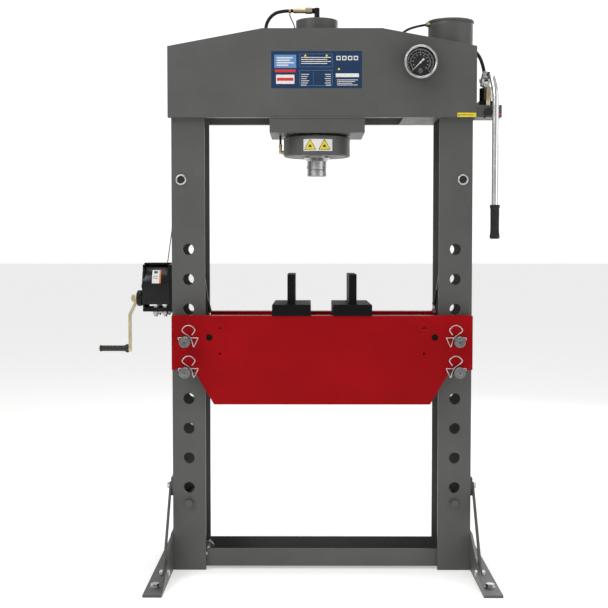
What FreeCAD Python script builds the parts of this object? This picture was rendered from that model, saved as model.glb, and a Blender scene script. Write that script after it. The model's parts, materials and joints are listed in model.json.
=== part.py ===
"""Hydraulic shop press with a winch-lifted bed: one STEP file for each sub-part.

Millimetres, +Z up, +X to the operator's right, the operator stands on the -Y side.
The origin is on the floor, midway between the two uprights.
"""
import FreeCAD, Part
import math
import os

V = FreeCAD.Vector
X, Y, Z = V(1, 0, 0), V(0, 1, 0), V(0, 0, 1)
SIDES = (-1, 1)

# ---- driving dimensions -------------------------------------------------------------------------
# clearances
RUNNING = 0.05          # radial, a shaft that turns or slides in its hole
GAP = 0.3               # between curved or moving faces
PIN_PLAY = 0.75         # radial, a bed pin in its hole
BOLT_PLAY = 0.5         # radial, a bolt in its hole

# uprights: two channels, open towards each other
FRAME_HALF = 500.0      # outer face of an upright from the centre
UPRIGHT_W = 110.0
UPRIGHT_D = 200.0
FLANGE_T = 14.0
WEB_T = 8.0
UPRIGHT_TOP = 1640.0
PIN_R = 18.0
PIN_X = FRAME_HALF - 54.5
PIN_Z0 = 280.0
PIN_PITCH = 100.0
PIN_ROWS = 9
TIE_Z = 228.0
TIE_R = 8.0

# beam: two plates over the uprights
BEAM_HALF = FRAME_HALF + 9
BEAM_T = 25.0
BEAM_Z0 = 1514.0
SHOULDER_Z = 1747.0
BEAM_TOP = 1805.0
BEAM_FLAT = 197.0
STIFFENER_T = 16.0
STIFFENER_TOP = 1660.0
SHELF_X0 = 270.0
SHELF_T = 8.0

# ram
RAM_X = -16.0
BARREL_R = 71.0
BORE_R = 58.0
BARREL_TOP = 1851.0
BARREL_END_T = 26.0
COLLAR_R = 112.5
COLLAR_Z0 = 1393.0
COLLAR_Z1 = 1459.0
MOUNT_HALF = 157.0
MOUNT_T = 50.0
ROD_R = 45.0
ROD_Z0 = 1389.0
PISTON_T = 32.0
NOSE_R = 32.5
NOSE_Z = 1349.0
NOSE_END = 1327.0
WIPER_R = 54.0
WIPER_T = 7.0

# oil tank
TANK_X = FRAME_HALF - 64
TANK_R = 76.0
TANK_WALL = 3.0
TANK_TOP = 1843.0
LID_R = 79.0
LID_T = 6.0
PLUG_X = TANK_X + 6
PLUG_R = 5.0
PLUG_HEAD_R = 8.0
PLUG_HEAD_T = 11.0

# hand pump
BLOCK_X1 = FRAME_HALF + 91
BLOCK_Y1 = -(UPRIGHT_D / 2 - 73)
BLOCK_H = 40.0
PUMP_X = FRAME_HALF + 44
PUMP_Y = -(UPRIGHT_D / 2 - 24)
PUMP_R = 20.0
PUMP_TOP = BEAM_Z0 + 100
PLUNGER_R = 8.0
LEVER_ARM = 24.0
LEVER_REST = 37.5       # degrees that the lever's arm hangs below level
LEVER_SWING = 75.0
FULCRUM_Z = PUMP_TOP + 28
LEVER_PIN_R = 4.0
EYE_T = 12.0
CHEEK_T = 6.0
TUBE_R = 10.5
TUBE_WALL = 2.0
TUBE_X = FRAME_HALF + 65
TUBE_Y = -(UPRIGHT_D / 2 + 58)
GRIP_R = 13.5
GRIP_FLANGE_R = 16.5
GRIP_Z0 = 1114.0
GRIP_Z1 = 1225.0
VALVE_X = FRAME_HALF + 45
VALVE_Z = 1530.0
VALVE_R = 13.0

# gauge
GAUGE_X = 320.0
GAUGE_Z = 1688.0
GAUGE_FRONT = -(UPRIGHT_D / 2 + 78)
BEZEL_R = 54.0
CASE_R = 50.0
CASE_BACK = -(UPRIGHT_D / 2 + BEAM_T + 8)
STEM_R = 8.0

# bed
BED_Y = UPRIGHT_D / 2 + 70
BED_T = 20.0
BED_HALF = FRAME_HALF - 6
BED_TOP = 862.0
BED_SIDE_Z = 684.0
BED_STEP_X = FRAME_HALF - 78
BED_LOW_X = FRAME_HALF - 145
BED_Z0 = 570.0
BED_FLANGE_T = 14.0
BED_FLANGE_Y = UPRIGHT_D / 2 + 6
BED_PIN_Z = (780.0, 680.0)
PIN_FRONT = -(BED_Y + 60)
PIN_REAR = BED_Y + 30
BOSS_R = 28.0
END_PLATE_X = FRAME_HALF - 146
END_PLATE_T = 10.0
TIE_ROD_X = FRAME_HALF - 130
TIE_ROD_Z = 791.0
TIE_ROD_R = 10.2

# bent-wire clips through the bed pins
WIRE_R = 1.6
CLIP_Y = PIN_FRONT + 23
CLIP_SCALE = (PIN_R + 4) / 22   # keeps the clip's loops clear of the pin's rim
CLIP_LEG = 12.5                 # height of the clip's straight leg over the pin's axis, before that scale

# press blocks
BLOCK_IN = 36.5
BLOCK_W = 127.5
BLOCK_T = 37.0
BLOCK_HALF_Y = BED_Y + 5
FIN_OUT = 114.0
FIN_T = 25.0
FIN_TOP = 998.0
FIN_Y0 = -150.0
FIN_Y1 = 110.0

# base
CROSS_Z0 = 10.0
CROSS_Z1 = 69.0
CROSS_T = 6.0
FOOT_HALF_Y = 415.0
FOOT_W = 60.0
FOOT_H = 124.0          # the foot's web beside the upright
FOOT_TIP_Y = 392.0      # where the web has fallen to the flat's thickness
FOOT_T = 8.0
ANCHOR_X = FRAME_HALF + 31
ANCHOR_Y = 329.0
ANCHOR_R = 8.0
BRACE_X = FRAME_HALF + 11
BRACE_T = 6.0
BRACE_W = 25.0
BRACE_FOOT = (272.0, 38.0)
BRACE_HEAD = (74.0, 283.0)
BRACE_BOLT_R = 6.0

# ropes and their pulleys
ROPE_R = 2.0
ROPE_BEND = 20.0        # radius of the rope's centre line over a pulley
PULLEY_FLANGE_R = 22.5
PULLEY_W = 14.0
PULLEY_X = FRAME_HALF - 32
PULLEY_Z = 1311.0
AXLE_R = 12.5
COLLAR_RING_R = 18.5
SHEAVE_Z = 52.0
SHEAVE_AXLE_R = 6.0
LEFT_SHEAVE_X = -(FRAME_HALF - 108)
RIGHT_SHEAVE_X = FRAME_HALF - 32
LEFT_ROPE_END = (-(FRAME_HALF - 118), 866.0)
RIGHT_ROPE_END = (FRAME_HALF - 115, 892.0)
LOWER_ROPE_Z = 690.0

# winch
SHELF_Z = 872.0
SHELF_PLATE = 8.0
WINCH_X0 = -(FRAME_HALF + 98)
WINCH_X1 = -(FRAME_HALF + 9)
WINCH_PLATE = 5.0
WINCH_Y0 = -95.0
WINCH_Y1 = 33.0
WINCH_TOP = 1029.0
DRUM_Y = -31.0
DRUM_Z = 955.0
DRUM_X0 = WINCH_X0 + 24
DRUM_X1 = WINCH_X1 - 8
DRUM_FLANGE_R = 50.0
DRUM_CORE_R = 29.0
DRUM_AXLE_R = 8.0
COVER_R = 67.0
COVER_T = 2.0
COVER_Z = 962.0
COVER_Z0 = 896.0
MODULE = 2.25
GEAR_TEETH = 38
PINION_TEETH = 12
GEAR_X = WINCH_X0 + 9.5
GEAR_W = 9.0
CRANK_Z = 916.0
SHAFT_R = 7.0
HUB_R = 27.0
HUB_X0 = WINCH_X0 - 23
HUB_X1 = WINCH_X0 - 4
CRANK_T = 8.0
CRANK_W = 24.0
CRANK_OUT_X = WINCH_X0 - 47
CRANK_BEND_Z = 860.0
CRANK_GRIP_Z = 747.0
SPINDLE_R = 5.0
CRANK_GRIP_R = 10.0
CRANK_FLANGE_R = 14.5
CRANK_END_X = WINCH_X0 - 152

# hoses
HOSE_R = 6.0
RETURN_R = 4.0
LINE_R = 2.0

# ---- worked out from them -----------------------------------------------------------------------
UPRIGHT_IN = FRAME_HALF - UPRIGHT_W
WEB_IN = FRAME_HALF - WEB_T
FLANGE_IN = UPRIGHT_D / 2 - FLANGE_T
BEAM_Y = UPRIGHT_D / 2 + BEAM_T
HOLE_R = PIN_R + PIN_PLAY
MOUNT_Z0 = BEAM_Z0 - MOUNT_T
BORE_TOP = BARREL_TOP - BARREL_END_T
PISTON_Z1 = BORE_TOP - 2
BLOCK_Z0 = BEAM_Z0
BLOCK_Z1 = BLOCK_Z0 + BLOCK_H
LEVER_REACH = LEVER_ARM * math.cos(math.radians(LEVER_REST))
FULCRUM_Y = PUMP_Y + LEVER_REACH
LEVER_PIN_Z = FULCRUM_Z - LEVER_ARM * math.sin(math.radians(LEVER_REST))
CENTRES = MODULE * (GEAR_TEETH + PINION_TEETH) / 2
CRANK_Y = DRUM_Y - math.sqrt(CENTRES ** 2 - (DRUM_Z - CRANK_Z) ** 2)

os.makedirs("parts", exist_ok=True)


# ---- tools --------------------------------------------------------------------------------------
def box(x0, x1, y0, y1, z0, z1):
    """A block between two corners, given in either order."""
    low = V(min(x0, x1), min(y0, y1), min(z0, z1))
    return Part.makeBox(abs(x1 - x0), abs(y1 - y0), abs(z1 - z0), low)


def rod(start, end, radius):
    """A round bar between two points."""
    along = end - start
    return Part.makeCylinder(radius, along.Length, start, along)


def ring(start, end, outer, inner):
    """A tube between two points."""
    return rod(start, end, outer).cut(rod(start, end, inner))


def along_z(x, y, z0, z1, radius):
    return rod(V(x, y, z0), V(x, y, z1), radius)


def along_y(x, z, y0, y1, radius):
    return rod(V(x, y0, z), V(x, y1, z), radius)


def along_x(y, z, x0, x1, radius):
    return rod(V(x0, y, z), V(x1, y, z), radius)


def prism(points, along):
    """A flat outline, pushed along a direction."""
    return Part.Face(Part.makePolygon(points + points[:1])).extrude(along)


def turned(profile, centre, axis_turn):
    """A profile of (radius, height) points, turned about a line through the centre.

    axis_turn takes the +Z axis of the turned shape to where it points.
    """
    points = [V(r, 0, h) for r, h in profile]
    solid = Part.Face(Part.makePolygon(points + points[:1])).revolve(V(0, 0, 0), Z, 360)
    solid.Placement = FreeCAD.Placement(centre, axis_turn)
    return solid


UPWARD = FreeCAD.Rotation()
ALONG_Y = FreeCAD.Rotation(Z, Y)
ALONG_X = FreeCAD.Rotation(Z, X)


def hexagon(start, along, flats):
    """A hexagonal bar; flats is the distance across its flats."""
    across = flats / math.sqrt(3)
    turn = FreeCAD.Rotation(Z, along)
    points = []
    for corner in range(6):
        angle = math.radians(60 * corner)
        points.append(turn.multVec(V(across * math.cos(angle), across * math.sin(angle), 0)) + start)
    return prism(points, along)


def bolt(start, along, radius, head, washer=0.0):
    """A hex bolt: start is under the washer, along is its shank, head its height."""
    out = V(along).normalize()
    shank = rod(start, start + along, radius)
    pieces = [shank, hexagon(start - out * washer, out * -head, radius * 3)]
    if washer:
        pieces.append(rod(start, start - out * washer, radius * 2.1))
    return pieces[0].fuse(pieces[1:])


def nut(start, along, radius):
    """A hex nut that begins at start."""
    return hexagon(start, along, radius * 3).cut(rod(start, start + along, radius))


def rounded_path(points, least=None):
    """Straight runs joined by tangent arcs through a list of points, and the arcs' radii.

    Each arc's radius is 0.45 of the shorter run beside it over the tangent of half the turn.
    """
    edges = []
    radii = []
    last = points[0]
    for before, corner, after in zip(points, points[1:], points[2:]):
        back = before - corner
        ahead = after - corner
        turn = math.pi - back.getAngle(ahead)
        radius = 0.45 * min(back.Length, ahead.Length) / math.tan(turn / 2)
        if least is not None:
            radius = min(radius, least)
        reach = radius * math.tan(turn / 2)
        back.normalize()
        ahead.normalize()
        middle = (back + ahead).normalize()
        centre = corner + middle * (radius / math.cos(turn / 2))
        start = corner + back * reach
        end = corner + ahead * reach
        edges.append(Part.LineSegment(last, start).toShape())
        edges.append(Part.Arc(start, centre - middle * radius, end).toShape())
        radii.append(radius)
        last = end
    edges.append(Part.LineSegment(last, points[-1]).toShape())
    return Part.Wire(edges), radii


def swept(path, radius):
    """A round section carried along a path."""
    first = path.OrderedEdges[0]
    start = first.valueAt(first.FirstParameter)
    along = first.tangentAt(first.FirstParameter)
    section = Part.Wire([Part.makeCircle(radius, start, along)])
    return path.makePipeShell([section], True, False, 1)


def cord(name, points, radius):
    """A hose or line along its route; its arcs' radii and volume are printed."""
    path, radii = rounded_path([V(*p) for p in points])
    solid = swept(path, radius)
    expected = math.pi * radius ** 2 * path.Length
    print(name, "length %.0f" % path.Length, "volume ratio %.4f" % (solid.Volume / expected),
          "radii", [round(r) for r in radii])
    return solid


def save(name, *solids):
    """Write one node."""
    shape = solids[0] if len(solids) == 1 else Part.makeCompound(list(solids))
    shape.exportStep("parts/%s.step" % name)


# ---- frame --------------------------------------------------------------------------------------
def upright(side):
    """A channel with the bed's pin holes in both flanges."""
    body = box(side * UPRIGHT_IN, side * FRAME_HALF, -UPRIGHT_D / 2, UPRIGHT_D / 2, 0, UPRIGHT_TOP)
    inside = box(side * (UPRIGHT_IN - 1), side * WEB_IN, -FLANGE_IN, FLANGE_IN, -1, UPRIGHT_TOP + 1)
    body = body.cut(inside)
    holes = []
    for row in range(PIN_ROWS):
        z = PIN_Z0 + PIN_PITCH * row
        holes.append(along_y(side * PIN_X, z, -UPRIGHT_D, UPRIGHT_D, HOLE_R))
    holes.append(along_y(side * PIN_X, TIE_Z, -UPRIGHT_D, UPRIGHT_D, TIE_R + BOLT_PLAY))
    holes.append(along_y(side * PULLEY_X, PULLEY_Z, -UPRIGHT_D, UPRIGHT_D, AXLE_R + RUNNING))
    if side < 0:
        holes.append(box(-FRAME_HALF - 1, -WEB_IN + 1, -8, 8, 1190, 1305))
        for y, z in WINCH_BOLTS:
            holes.append(along_x(y, z, -FRAME_HALF - 1, -WEB_IN + 1, 6 + BOLT_PLAY))
    return body.cut(Part.makeCompound(holes))


def beam_plate(side):
    outline = [(-BEAM_HALF, BEAM_Z0), (BEAM_HALF, BEAM_Z0), (BEAM_HALF, SHOULDER_Z),
               (BEAM_FLAT, BEAM_TOP), (-BEAM_FLAT, BEAM_TOP), (-BEAM_HALF, SHOULDER_Z)]
    start = side * UPRIGHT_D / 2
    plate = prism([V(x, start, z) for x, z in outline], V(0, side * BEAM_T, 0))
    if side < 0:
        plate = plate.cut(along_y(GAUGE_X, GAUGE_Z, -BEAM_Y - 1, -UPRIGHT_D / 2 + 1, STEM_R + GAP))
    return plate


def beam_stiffeners():
    """Two ribs beside the barrel, and the shelf that closes the beam under the tank's side."""
    ribs = []
    for side in SIDES:
        x = RAM_X + side * (BARREL_R + 16)
        ribs.append(box(x, x + side * STIFFENER_T, -UPRIGHT_D / 2, UPRIGHT_D / 2, BEAM_Z0, STIFFENER_TOP))
    ribs.append(box(SHELF_X0, UPRIGHT_IN, -UPRIGHT_D / 2, UPRIGHT_D / 2, BEAM_Z0, BEAM_Z0 + SHELF_T))
    return ribs


def head_mount_plate():
    plate = box(RAM_X - MOUNT_HALF, RAM_X + MOUNT_HALF, -BEAM_Y, BEAM_Y, MOUNT_Z0, BEAM_Z0)
    plate = plate.cut(along_z(RAM_X, 0, MOUNT_Z0 - 1, BEAM_Z0 + 1, BARREL_R + GAP))
    return plate.cut(along_z(RETURN_PATH[0][0], 0, MOUNT_Z0 - 1, BEAM_Z0 + 1, RETURN_R + 2))


def base_crossmember():
    """A channel, open upwards, that carries the level rope between its sheaves."""
    half = FLANGE_IN - GAP
    body = box(-WEB_IN, WEB_IN, -half, half, CROSS_Z0, CROSS_Z1)
    body = body.cut(box(-WEB_IN - 1, WEB_IN + 1, -half + CROSS_T, half - CROSS_T,
                        CROSS_Z0 + CROSS_T, CROSS_Z1 + 1))
    for x in (LEFT_SHEAVE_X, RIGHT_SHEAVE_X):
        body = body.cut(along_y(x, SHEAVE_Z, -half - 1, half + 1, SHEAVE_AXLE_R + RUNNING))
    return body


def foot(side):
    """An angle along the floor, welded to the upright's outer face."""
    inner = side * FRAME_HALF
    half = UPRIGHT_D / 2
    outline = [(-FOOT_HALF_Y, 0), (FOOT_HALF_Y, 0), (FOOT_HALF_Y, FOOT_T), (FOOT_TIP_Y, FOOT_T),
               (half, FOOT_H), (-half, FOOT_H), (-FOOT_TIP_Y, FOOT_T), (-FOOT_HALF_Y, FOOT_T)]
    stand = prism([V(inner, y, z) for y, z in outline], V(side * FOOT_T, 0, 0))
    flat = box(inner, inner + side * FOOT_W, -FOOT_HALF_Y, FOOT_HALF_Y, 0, FOOT_T)
    body = stand.fuse(flat).removeSplitter()
    for end in SIDES:
        y, z = BRACE_FOOT
        body = body.cut(along_z(side * ANCHOR_X, end * ANCHOR_Y, -1, FOOT_T + 1, ANCHOR_R + BOLT_PLAY))
        body = body.cut(along_x(end * y, z, side * (FRAME_HALF - 1), side * (FRAME_HALF + FOOT_T + 1),
                                BRACE_BOLT_R + BOLT_PLAY))
    return body


def braces():
    """A flat bar at each end of each foot, from its lug on the upright down to the foot."""
    (y0, z0), (y1, z1) = BRACE_FOOT, BRACE_HEAD
    pieces = []
    for side in SIDES:
        x = side * (BRACE_X - BRACE_T / 2)
        push = V(side * BRACE_T, 0, 0)
        for end in SIDES:
            foot_end, head_end = V(x, end * y0, z0), V(x, end * y1, z1)
            along = (head_end - foot_end).normalize()
            across = along.cross(X) * (BRACE_W / 2)
            bar = prism([foot_end + across, head_end + across, head_end - across, foot_end - across], push)
            for centre in (foot_end, head_end):
                bar = bar.fuse(Part.makeCylinder(BRACE_W / 2, BRACE_T, centre, push))
            for centre in (foot_end, head_end):
                bar = bar.cut(rod(centre - push, centre + push * 2, BRACE_BOLT_R + BOLT_PLAY))
            pieces.append(bar.removeSplitter())
            lug = box(side * FRAME_HALF, x, end * (y1 - 16), end * (y1 + 16), z1 - 32, z1 + 28)
            pieces.append(lug.cut(rod(head_end - push * 9, head_end + push, BRACE_BOLT_R + BOLT_PLAY)))
    return pieces


WINCH_BOLTS = ((-75.0, 900.0), (15.0, 900.0), (-75.0, 1005.0), (15.0, 1005.0))
SHELF_BOLTS = [(x, y) for y in (-78.0, 18.0) for x in (WINCH_X0 + 41, WINCH_X1 - 16)]


def frame_bolts():
    """Tie bolts with their spacers, brace bolts, anchor bolts and the winch's bolts."""
    pieces = []
    half = UPRIGHT_D / 2
    for side in SIDES:
        x = side * PIN_X
        pieces.append(bolt(V(x, -half, TIE_Z), V(0, UPRIGHT_D + 22, 0), TIE_R, 13, 3))
        pieces.append(nut(V(x, half, TIE_Z), V(0, 16, 0), TIE_R))
        pieces.append(ring(V(x, -FLANGE_IN, TIE_Z), V(x, FLANGE_IN, TIE_Z), 17, TIE_R))
        outer = side * (BRACE_X + BRACE_T / 2)
        for end in SIDES:
            y, z = BRACE_FOOT
            start = V(side * FRAME_HALF, end * y, z)
            pieces.append(bolt(start, V(side * (BRACE_X + 14) - start.x, 0, 0), BRACE_BOLT_R, 8))
            pieces.append(nut(V(outer, end * y, z), V(side * 9, 0, 0), BRACE_BOLT_R))
            y, z = BRACE_HEAD
            pieces.append(bolt(V(outer, end * y, z), V(side * (FRAME_HALF + 1) - outer, 0, 0),
                               BRACE_BOLT_R, 8))
            pieces.append(bolt(V(side * ANCHOR_X, end * ANCHOR_Y, FOOT_T), V(0, 0, -FOOT_T),
                               ANCHOR_R, 10, 3))
    for y, z in WINCH_BOLTS:
        pieces.append(bolt(V(-WEB_IN, y, z), V(-WEB_T - SHELF_PLATE, 0, 0), 6, 7))
    for x, y in SHELF_BOLTS:
        top = SHELF_Z + SHELF_PLATE + WINCH_PLATE
        pieces.append(bolt(V(x, y, top), V(0, 0, SHELF_Z - 17 - top), 6, 6))
        pieces.append(nut(V(x, y, SHELF_Z), V(0, 0, -10), 6))
    return pieces


# ---- ram ----------------------------------------------------------------------------------------
def cylinder_barrel():
    body = along_z(RAM_X, 0, COLLAR_Z1, BARREL_TOP, BARREL_R)
    body = body.cut(along_z(RAM_X, 0, COLLAR_Z1 - 1, BORE_TOP, BORE_R))
    return body.cut(along_z(RAM_X, 0, BORE_TOP - 1, BARREL_TOP + 1, 5))


def cylinder_collar():
    """The gland that closes the barrel, with the wiper's seat at its lower end."""
    body = along_z(RAM_X, 0, COLLAR_Z0, COLLAR_Z1, COLLAR_R)
    edges = [e for e in body.Edges if len(e.Vertexes) == 1]
    body = body.makeChamfer(4, edges)
    body = body.cut(along_z(RAM_X, 0, COLLAR_Z0 - 1, COLLAR_Z1 + 1, ROD_R + RUNNING))
    body = body.cut(along_z(RAM_X, 0, COLLAR_Z0 - 1, COLLAR_Z0 + WIPER_T, WIPER_R))
    x = RAM_X - COLLAR_R
    port = along_x(0, RETURN_PORT_Z, x - 1, x + 20, 5)
    return body.cut(port)


def rod_wiper():
    return ring(V(RAM_X, 0, COLLAR_Z0), V(RAM_X, 0, COLLAR_Z0 + WIPER_T), WIPER_R, ROD_R + GAP)


def piston():
    """The piston head and the seal ring in its groove."""
    top, low = PISTON_Z1, PISTON_Z1 - PISTON_T
    head = along_z(RAM_X, 0, low, top, BORE_R - GAP)
    groove = ring(V(RAM_X, 0, low + 10), V(RAM_X, 0, low + 20), BORE_R + 1, BORE_R - 9)
    seal = ring(V(RAM_X, 0, low + 10), V(RAM_X, 0, low + 20), BORE_R - GAP, BORE_R - 9)
    return [head.cut(groove), seal]


def piston_rod():
    return along_z(RAM_X, 0, ROD_Z0, PISTON_Z1 - PISTON_T, ROD_R)


def ram_nose():
    """The tapered head on the rod, with the set screw that holds the cap's spigot."""
    profile = [(0, NOSE_Z), (NOSE_R - 1, NOSE_Z), (NOSE_R, NOSE_Z + 1), (NOSE_R, NOSE_Z + 29),
               (ROD_R, ROD_Z0), (0, ROD_Z0)]
    head = turned(profile, V(RAM_X, 0, 0), UPWARD)
    head = head.cut(along_z(RAM_X, 0, NOSE_Z - 1, NOSE_Z + 18, 18 + GAP))
    screw_z = NOSE_Z + 9
    head = head.cut(along_x(0, screw_z, RAM_X - NOSE_R - 1, RAM_X, 4))
    screw = along_x(0, screw_z, RAM_X - NOSE_R - 2, RAM_X - 18 - GAP, 4)
    return [head, screw]


def nose_cap():
    profile = [(0, NOSE_END), (NOSE_R - 1.5, NOSE_END), (NOSE_R, NOSE_END + 1.5),
               (NOSE_R, NOSE_Z - 2), (NOSE_R - 1.5, NOSE_Z), (18, NOSE_Z), (18, NOSE_Z + 17), (0, NOSE_Z + 17)]
    return turned(profile, V(RAM_X, 0, 0), UPWARD)


# ---- oil tank -----------------------------------------------------------------------------------
def oil_tank():
    body = along_z(TANK_X, 0, UPRIGHT_TOP, TANK_TOP, TANK_R)
    return body.cut(along_z(TANK_X, 0, UPRIGHT_TOP + TANK_WALL, TANK_TOP + 1, TANK_R - TANK_WALL))


def tank_lid():
    """A disc with a plug hole, located in the tank by a shallow step."""
    disc = along_z(TANK_X, 0, TANK_TOP, TANK_TOP + LID_T, LID_R)
    step = along_z(TANK_X, 0, TANK_TOP - 4, TANK_TOP, TANK_R - TANK_WALL - GAP)
    lid = disc.fuse(step).removeSplitter()
    return lid.cut(along_z(PLUG_X, 0, TANK_TOP - 5, TANK_TOP + LID_T + 1, PLUG_R + GAP))


def filler_plug():
    top = TANK_TOP + LID_T
    head = hexagon(V(PLUG_X, 0, top), V(0, 0, PLUG_HEAD_T), PLUG_HEAD_R * 2)
    return head.fuse(along_z(PLUG_X, 0, TANK_TOP - 8, top, PLUG_R))


# ---- hand pump ----------------------------------------------------------------------------------
def pump_block():
    """The manifold on the beam's end, and the lug that carries the lever's fulcrum pin."""
    block = box(BEAM_HALF, BLOCK_X1, -BEAM_Y, BLOCK_Y1, BLOCK_Z0, BLOCK_Z1)
    block = block.cut(along_y(VALVE_X, VALVE_Z, -BEAM_Y - 1, -BEAM_Y + 20, 5 + RUNNING))
    half = EYE_T / 2
    lug_y0 = FULCRUM_Y - 7
    lug = box(PUMP_X - half, PUMP_X + half, lug_y0, FULCRUM_Y + 7, PUMP_TOP, FULCRUM_Z)
    lug = lug.fuse(along_x(FULCRUM_Y, FULCRUM_Z, PUMP_X - half, PUMP_X + half, 7))
    lug = lug.cut(along_x(FULCRUM_Y, FULCRUM_Z, PUMP_X - 20, PUMP_X + 20, LEVER_PIN_R + RUNNING))
    return [block, lug.removeSplitter()]


def pump_cylinder():
    """A flanged barrel that guides the plunger; the fulcrum's lug stands on its shoulder."""
    flange = box(PUMP_X - 24, PUMP_X + 22, PUMP_Y - 24, PUMP_Y + 30, BLOCK_Z1, BLOCK_Z1 + 16)
    barrel = along_z(PUMP_X, PUMP_Y, BLOCK_Z1 + 16, PUMP_TOP, PUMP_R)
    shoulder = box(PUMP_X - 10, PUMP_X + 10, PUMP_Y, FULCRUM_Y + 9, BLOCK_Z1 + 16, PUMP_TOP)
    body = flange.fuse([barrel, shoulder]).removeSplitter()
    bore = along_z(PUMP_X, PUMP_Y, BLOCK_Z1 + 12, PUMP_TOP + 1, PLUNGER_R + RUNNING)
    return body.cut(bore)


def pump_plunger():
    """The plunger and its eye, slotted crosswise because the lever's pin swings on an arc."""
    half = EYE_T / 2
    shift = LEVER_ARM - LEVER_REACH
    stem = along_z(PUMP_X, PUMP_Y, BLOCK_Z1 + 14, PUMP_TOP + 6, PLUNGER_R)
    low = PUMP_TOP + 5
    eye = box(PUMP_X - half, PUMP_X + half, PUMP_Y - shift - 7.5, PUMP_Y + 7.5, low, LEVER_PIN_Z + 8)
    # flats on the stem's upper end clear the cheeks when the lever is up
    flats_z = LEVER_PIN_Z - LEVER_REACH - 1.5
    for side in SIDES:
        near, far = PUMP_X + side * half, PUMP_X + side * (PLUNGER_R + 1)
        stem = stem.cut(box(near, far, PUMP_Y - 10, PUMP_Y + 10, flats_z, low + 2))
    slot_r = LEVER_PIN_R + 0.75
    slot = box(PUMP_X - 20, PUMP_X + 20, PUMP_Y - shift, PUMP_Y, LEVER_PIN_Z - slot_r, LEVER_PIN_Z + slot_r)
    for y in (PUMP_Y - shift, PUMP_Y):
        slot = slot.fuse(along_x(y, LEVER_PIN_Z, PUMP_X - 20, PUMP_X + 20, slot_r))
    return stem.fuse(eye).cut(slot)


def pump_lever():
    """Two cheeks joined by a socket block, and the lever's two pins."""
    half = EYE_T / 2 + 0.5
    pieces = []
    cheeks = []
    for side in SIDES:
        x0, push = PUMP_X + side * half, V(side * CHEEK_T, 0, 0)
        outline = [V(x0, FULCRUM_Y + 9, FULCRUM_Z + 6), V(x0, FULCRUM_Y + 6, FULCRUM_Z - 9),
                   V(x0, PUMP_Y + 2, LEVER_PIN_Z - 9), V(x0, PUMP_Y - 8, LEVER_PIN_Z - 7),
                   V(x0, SOCKET_Y + 6, FULCRUM_Z + 1), V(x0, SOCKET_Y - 8, FULCRUM_Z + 4),
                   V(x0, SOCKET_Y - 8, FULCRUM_Z + 24), V(x0, SOCKET_Y + 10, FULCRUM_Z + 24)]
        cheeks.append(prism(outline, push))
    socket = box(PUMP_X - half, PUMP_X + half, SOCKET_Y - 8, SOCKET_Y + 6, FULCRUM_Z + 2, FULCRUM_Z + 24)
    lever = cheeks[0].fuse([cheeks[1], socket]).removeSplitter()
    lever = lever.cut(swept(handle_path(), TUBE_R))
    reach = half + CHEEK_T
    for y, z in ((FULCRUM_Y, FULCRUM_Z), (PUMP_Y, LEVER_PIN_Z)):
        lever = lever.cut(along_x(y, z, PUMP_X - 20, PUMP_X + 20, LEVER_PIN_R))
        pin = along_x(y, z, PUMP_X - reach, PUMP_X + reach, LEVER_PIN_R)
        head = hexagon(V(PUMP_X - reach, y, z), V(-5, 0, 0), 12)
        pieces.append(pin.fuse(head).removeSplitter())
    return [lever] + pieces


SOCKET_Y = FULCRUM_Y - 42.0


def handle_path():
    start = V(PUMP_X + 3, SOCKET_Y - 8, FULCRUM_Z + 13)
    upper = V(PUMP_X + 10, TUBE_Y + 15, FULCRUM_Z + 9)
    lower = V(TUBE_X, TUBE_Y, FULCRUM_Z - 48)
    path, _ = rounded_path([start, upper, lower, V(TUBE_X, TUBE_Y, GRIP_Z0 + 6)])
    return path


def handle_tube():
    path = handle_path()
    return swept(path, TUBE_R).cut(swept(path, TUBE_R - TUBE_WALL))


def handle_grip():
    profile = [(TUBE_R, GRIP_Z0 + 6), (0, GRIP_Z0 + 6), (0, GRIP_Z0), (GRIP_R - 1, GRIP_Z0),
               (GRIP_FLANGE_R, GRIP_Z0 + 3), (GRIP_FLANGE_R, GRIP_Z0 + 9), (GRIP_R, GRIP_Z0 + 15),
               (GRIP_R + 0.8, (GRIP_Z0 + GRIP_Z1) / 2), (GRIP_R, GRIP_Z1 - 12),
               (GRIP_FLANGE_R, GRIP_Z1 - 6), (GRIP_FLANGE_R, GRIP_Z1), (TUBE_R, GRIP_Z1)]
    return turned(profile, V(TUBE_X, TUBE_Y, 0), UPWARD)


def release_valve():
    """A round knob on its stem, with a cross bar through it."""
    front = -BEAM_Y
    stem = along_y(VALVE_X, VALVE_Z, front - 3, front + 18, 5)
    knob = along_y(VALVE_X, VALVE_Z, front - 17, front - 2, VALVE_R)
    knob = knob.fuse(stem).removeSplitter()
    lean = V(math.sin(math.radians(35)), 0, math.cos(math.radians(35)))
    middle = V(VALVE_X, front - 9, VALVE_Z)
    bar_start, bar_end = middle - lean * 24, middle + lean * 24
    knob = knob.cut(rod(bar_start, bar_end, 3))
    return [knob, rod(bar_start, bar_end, 3)]


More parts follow.
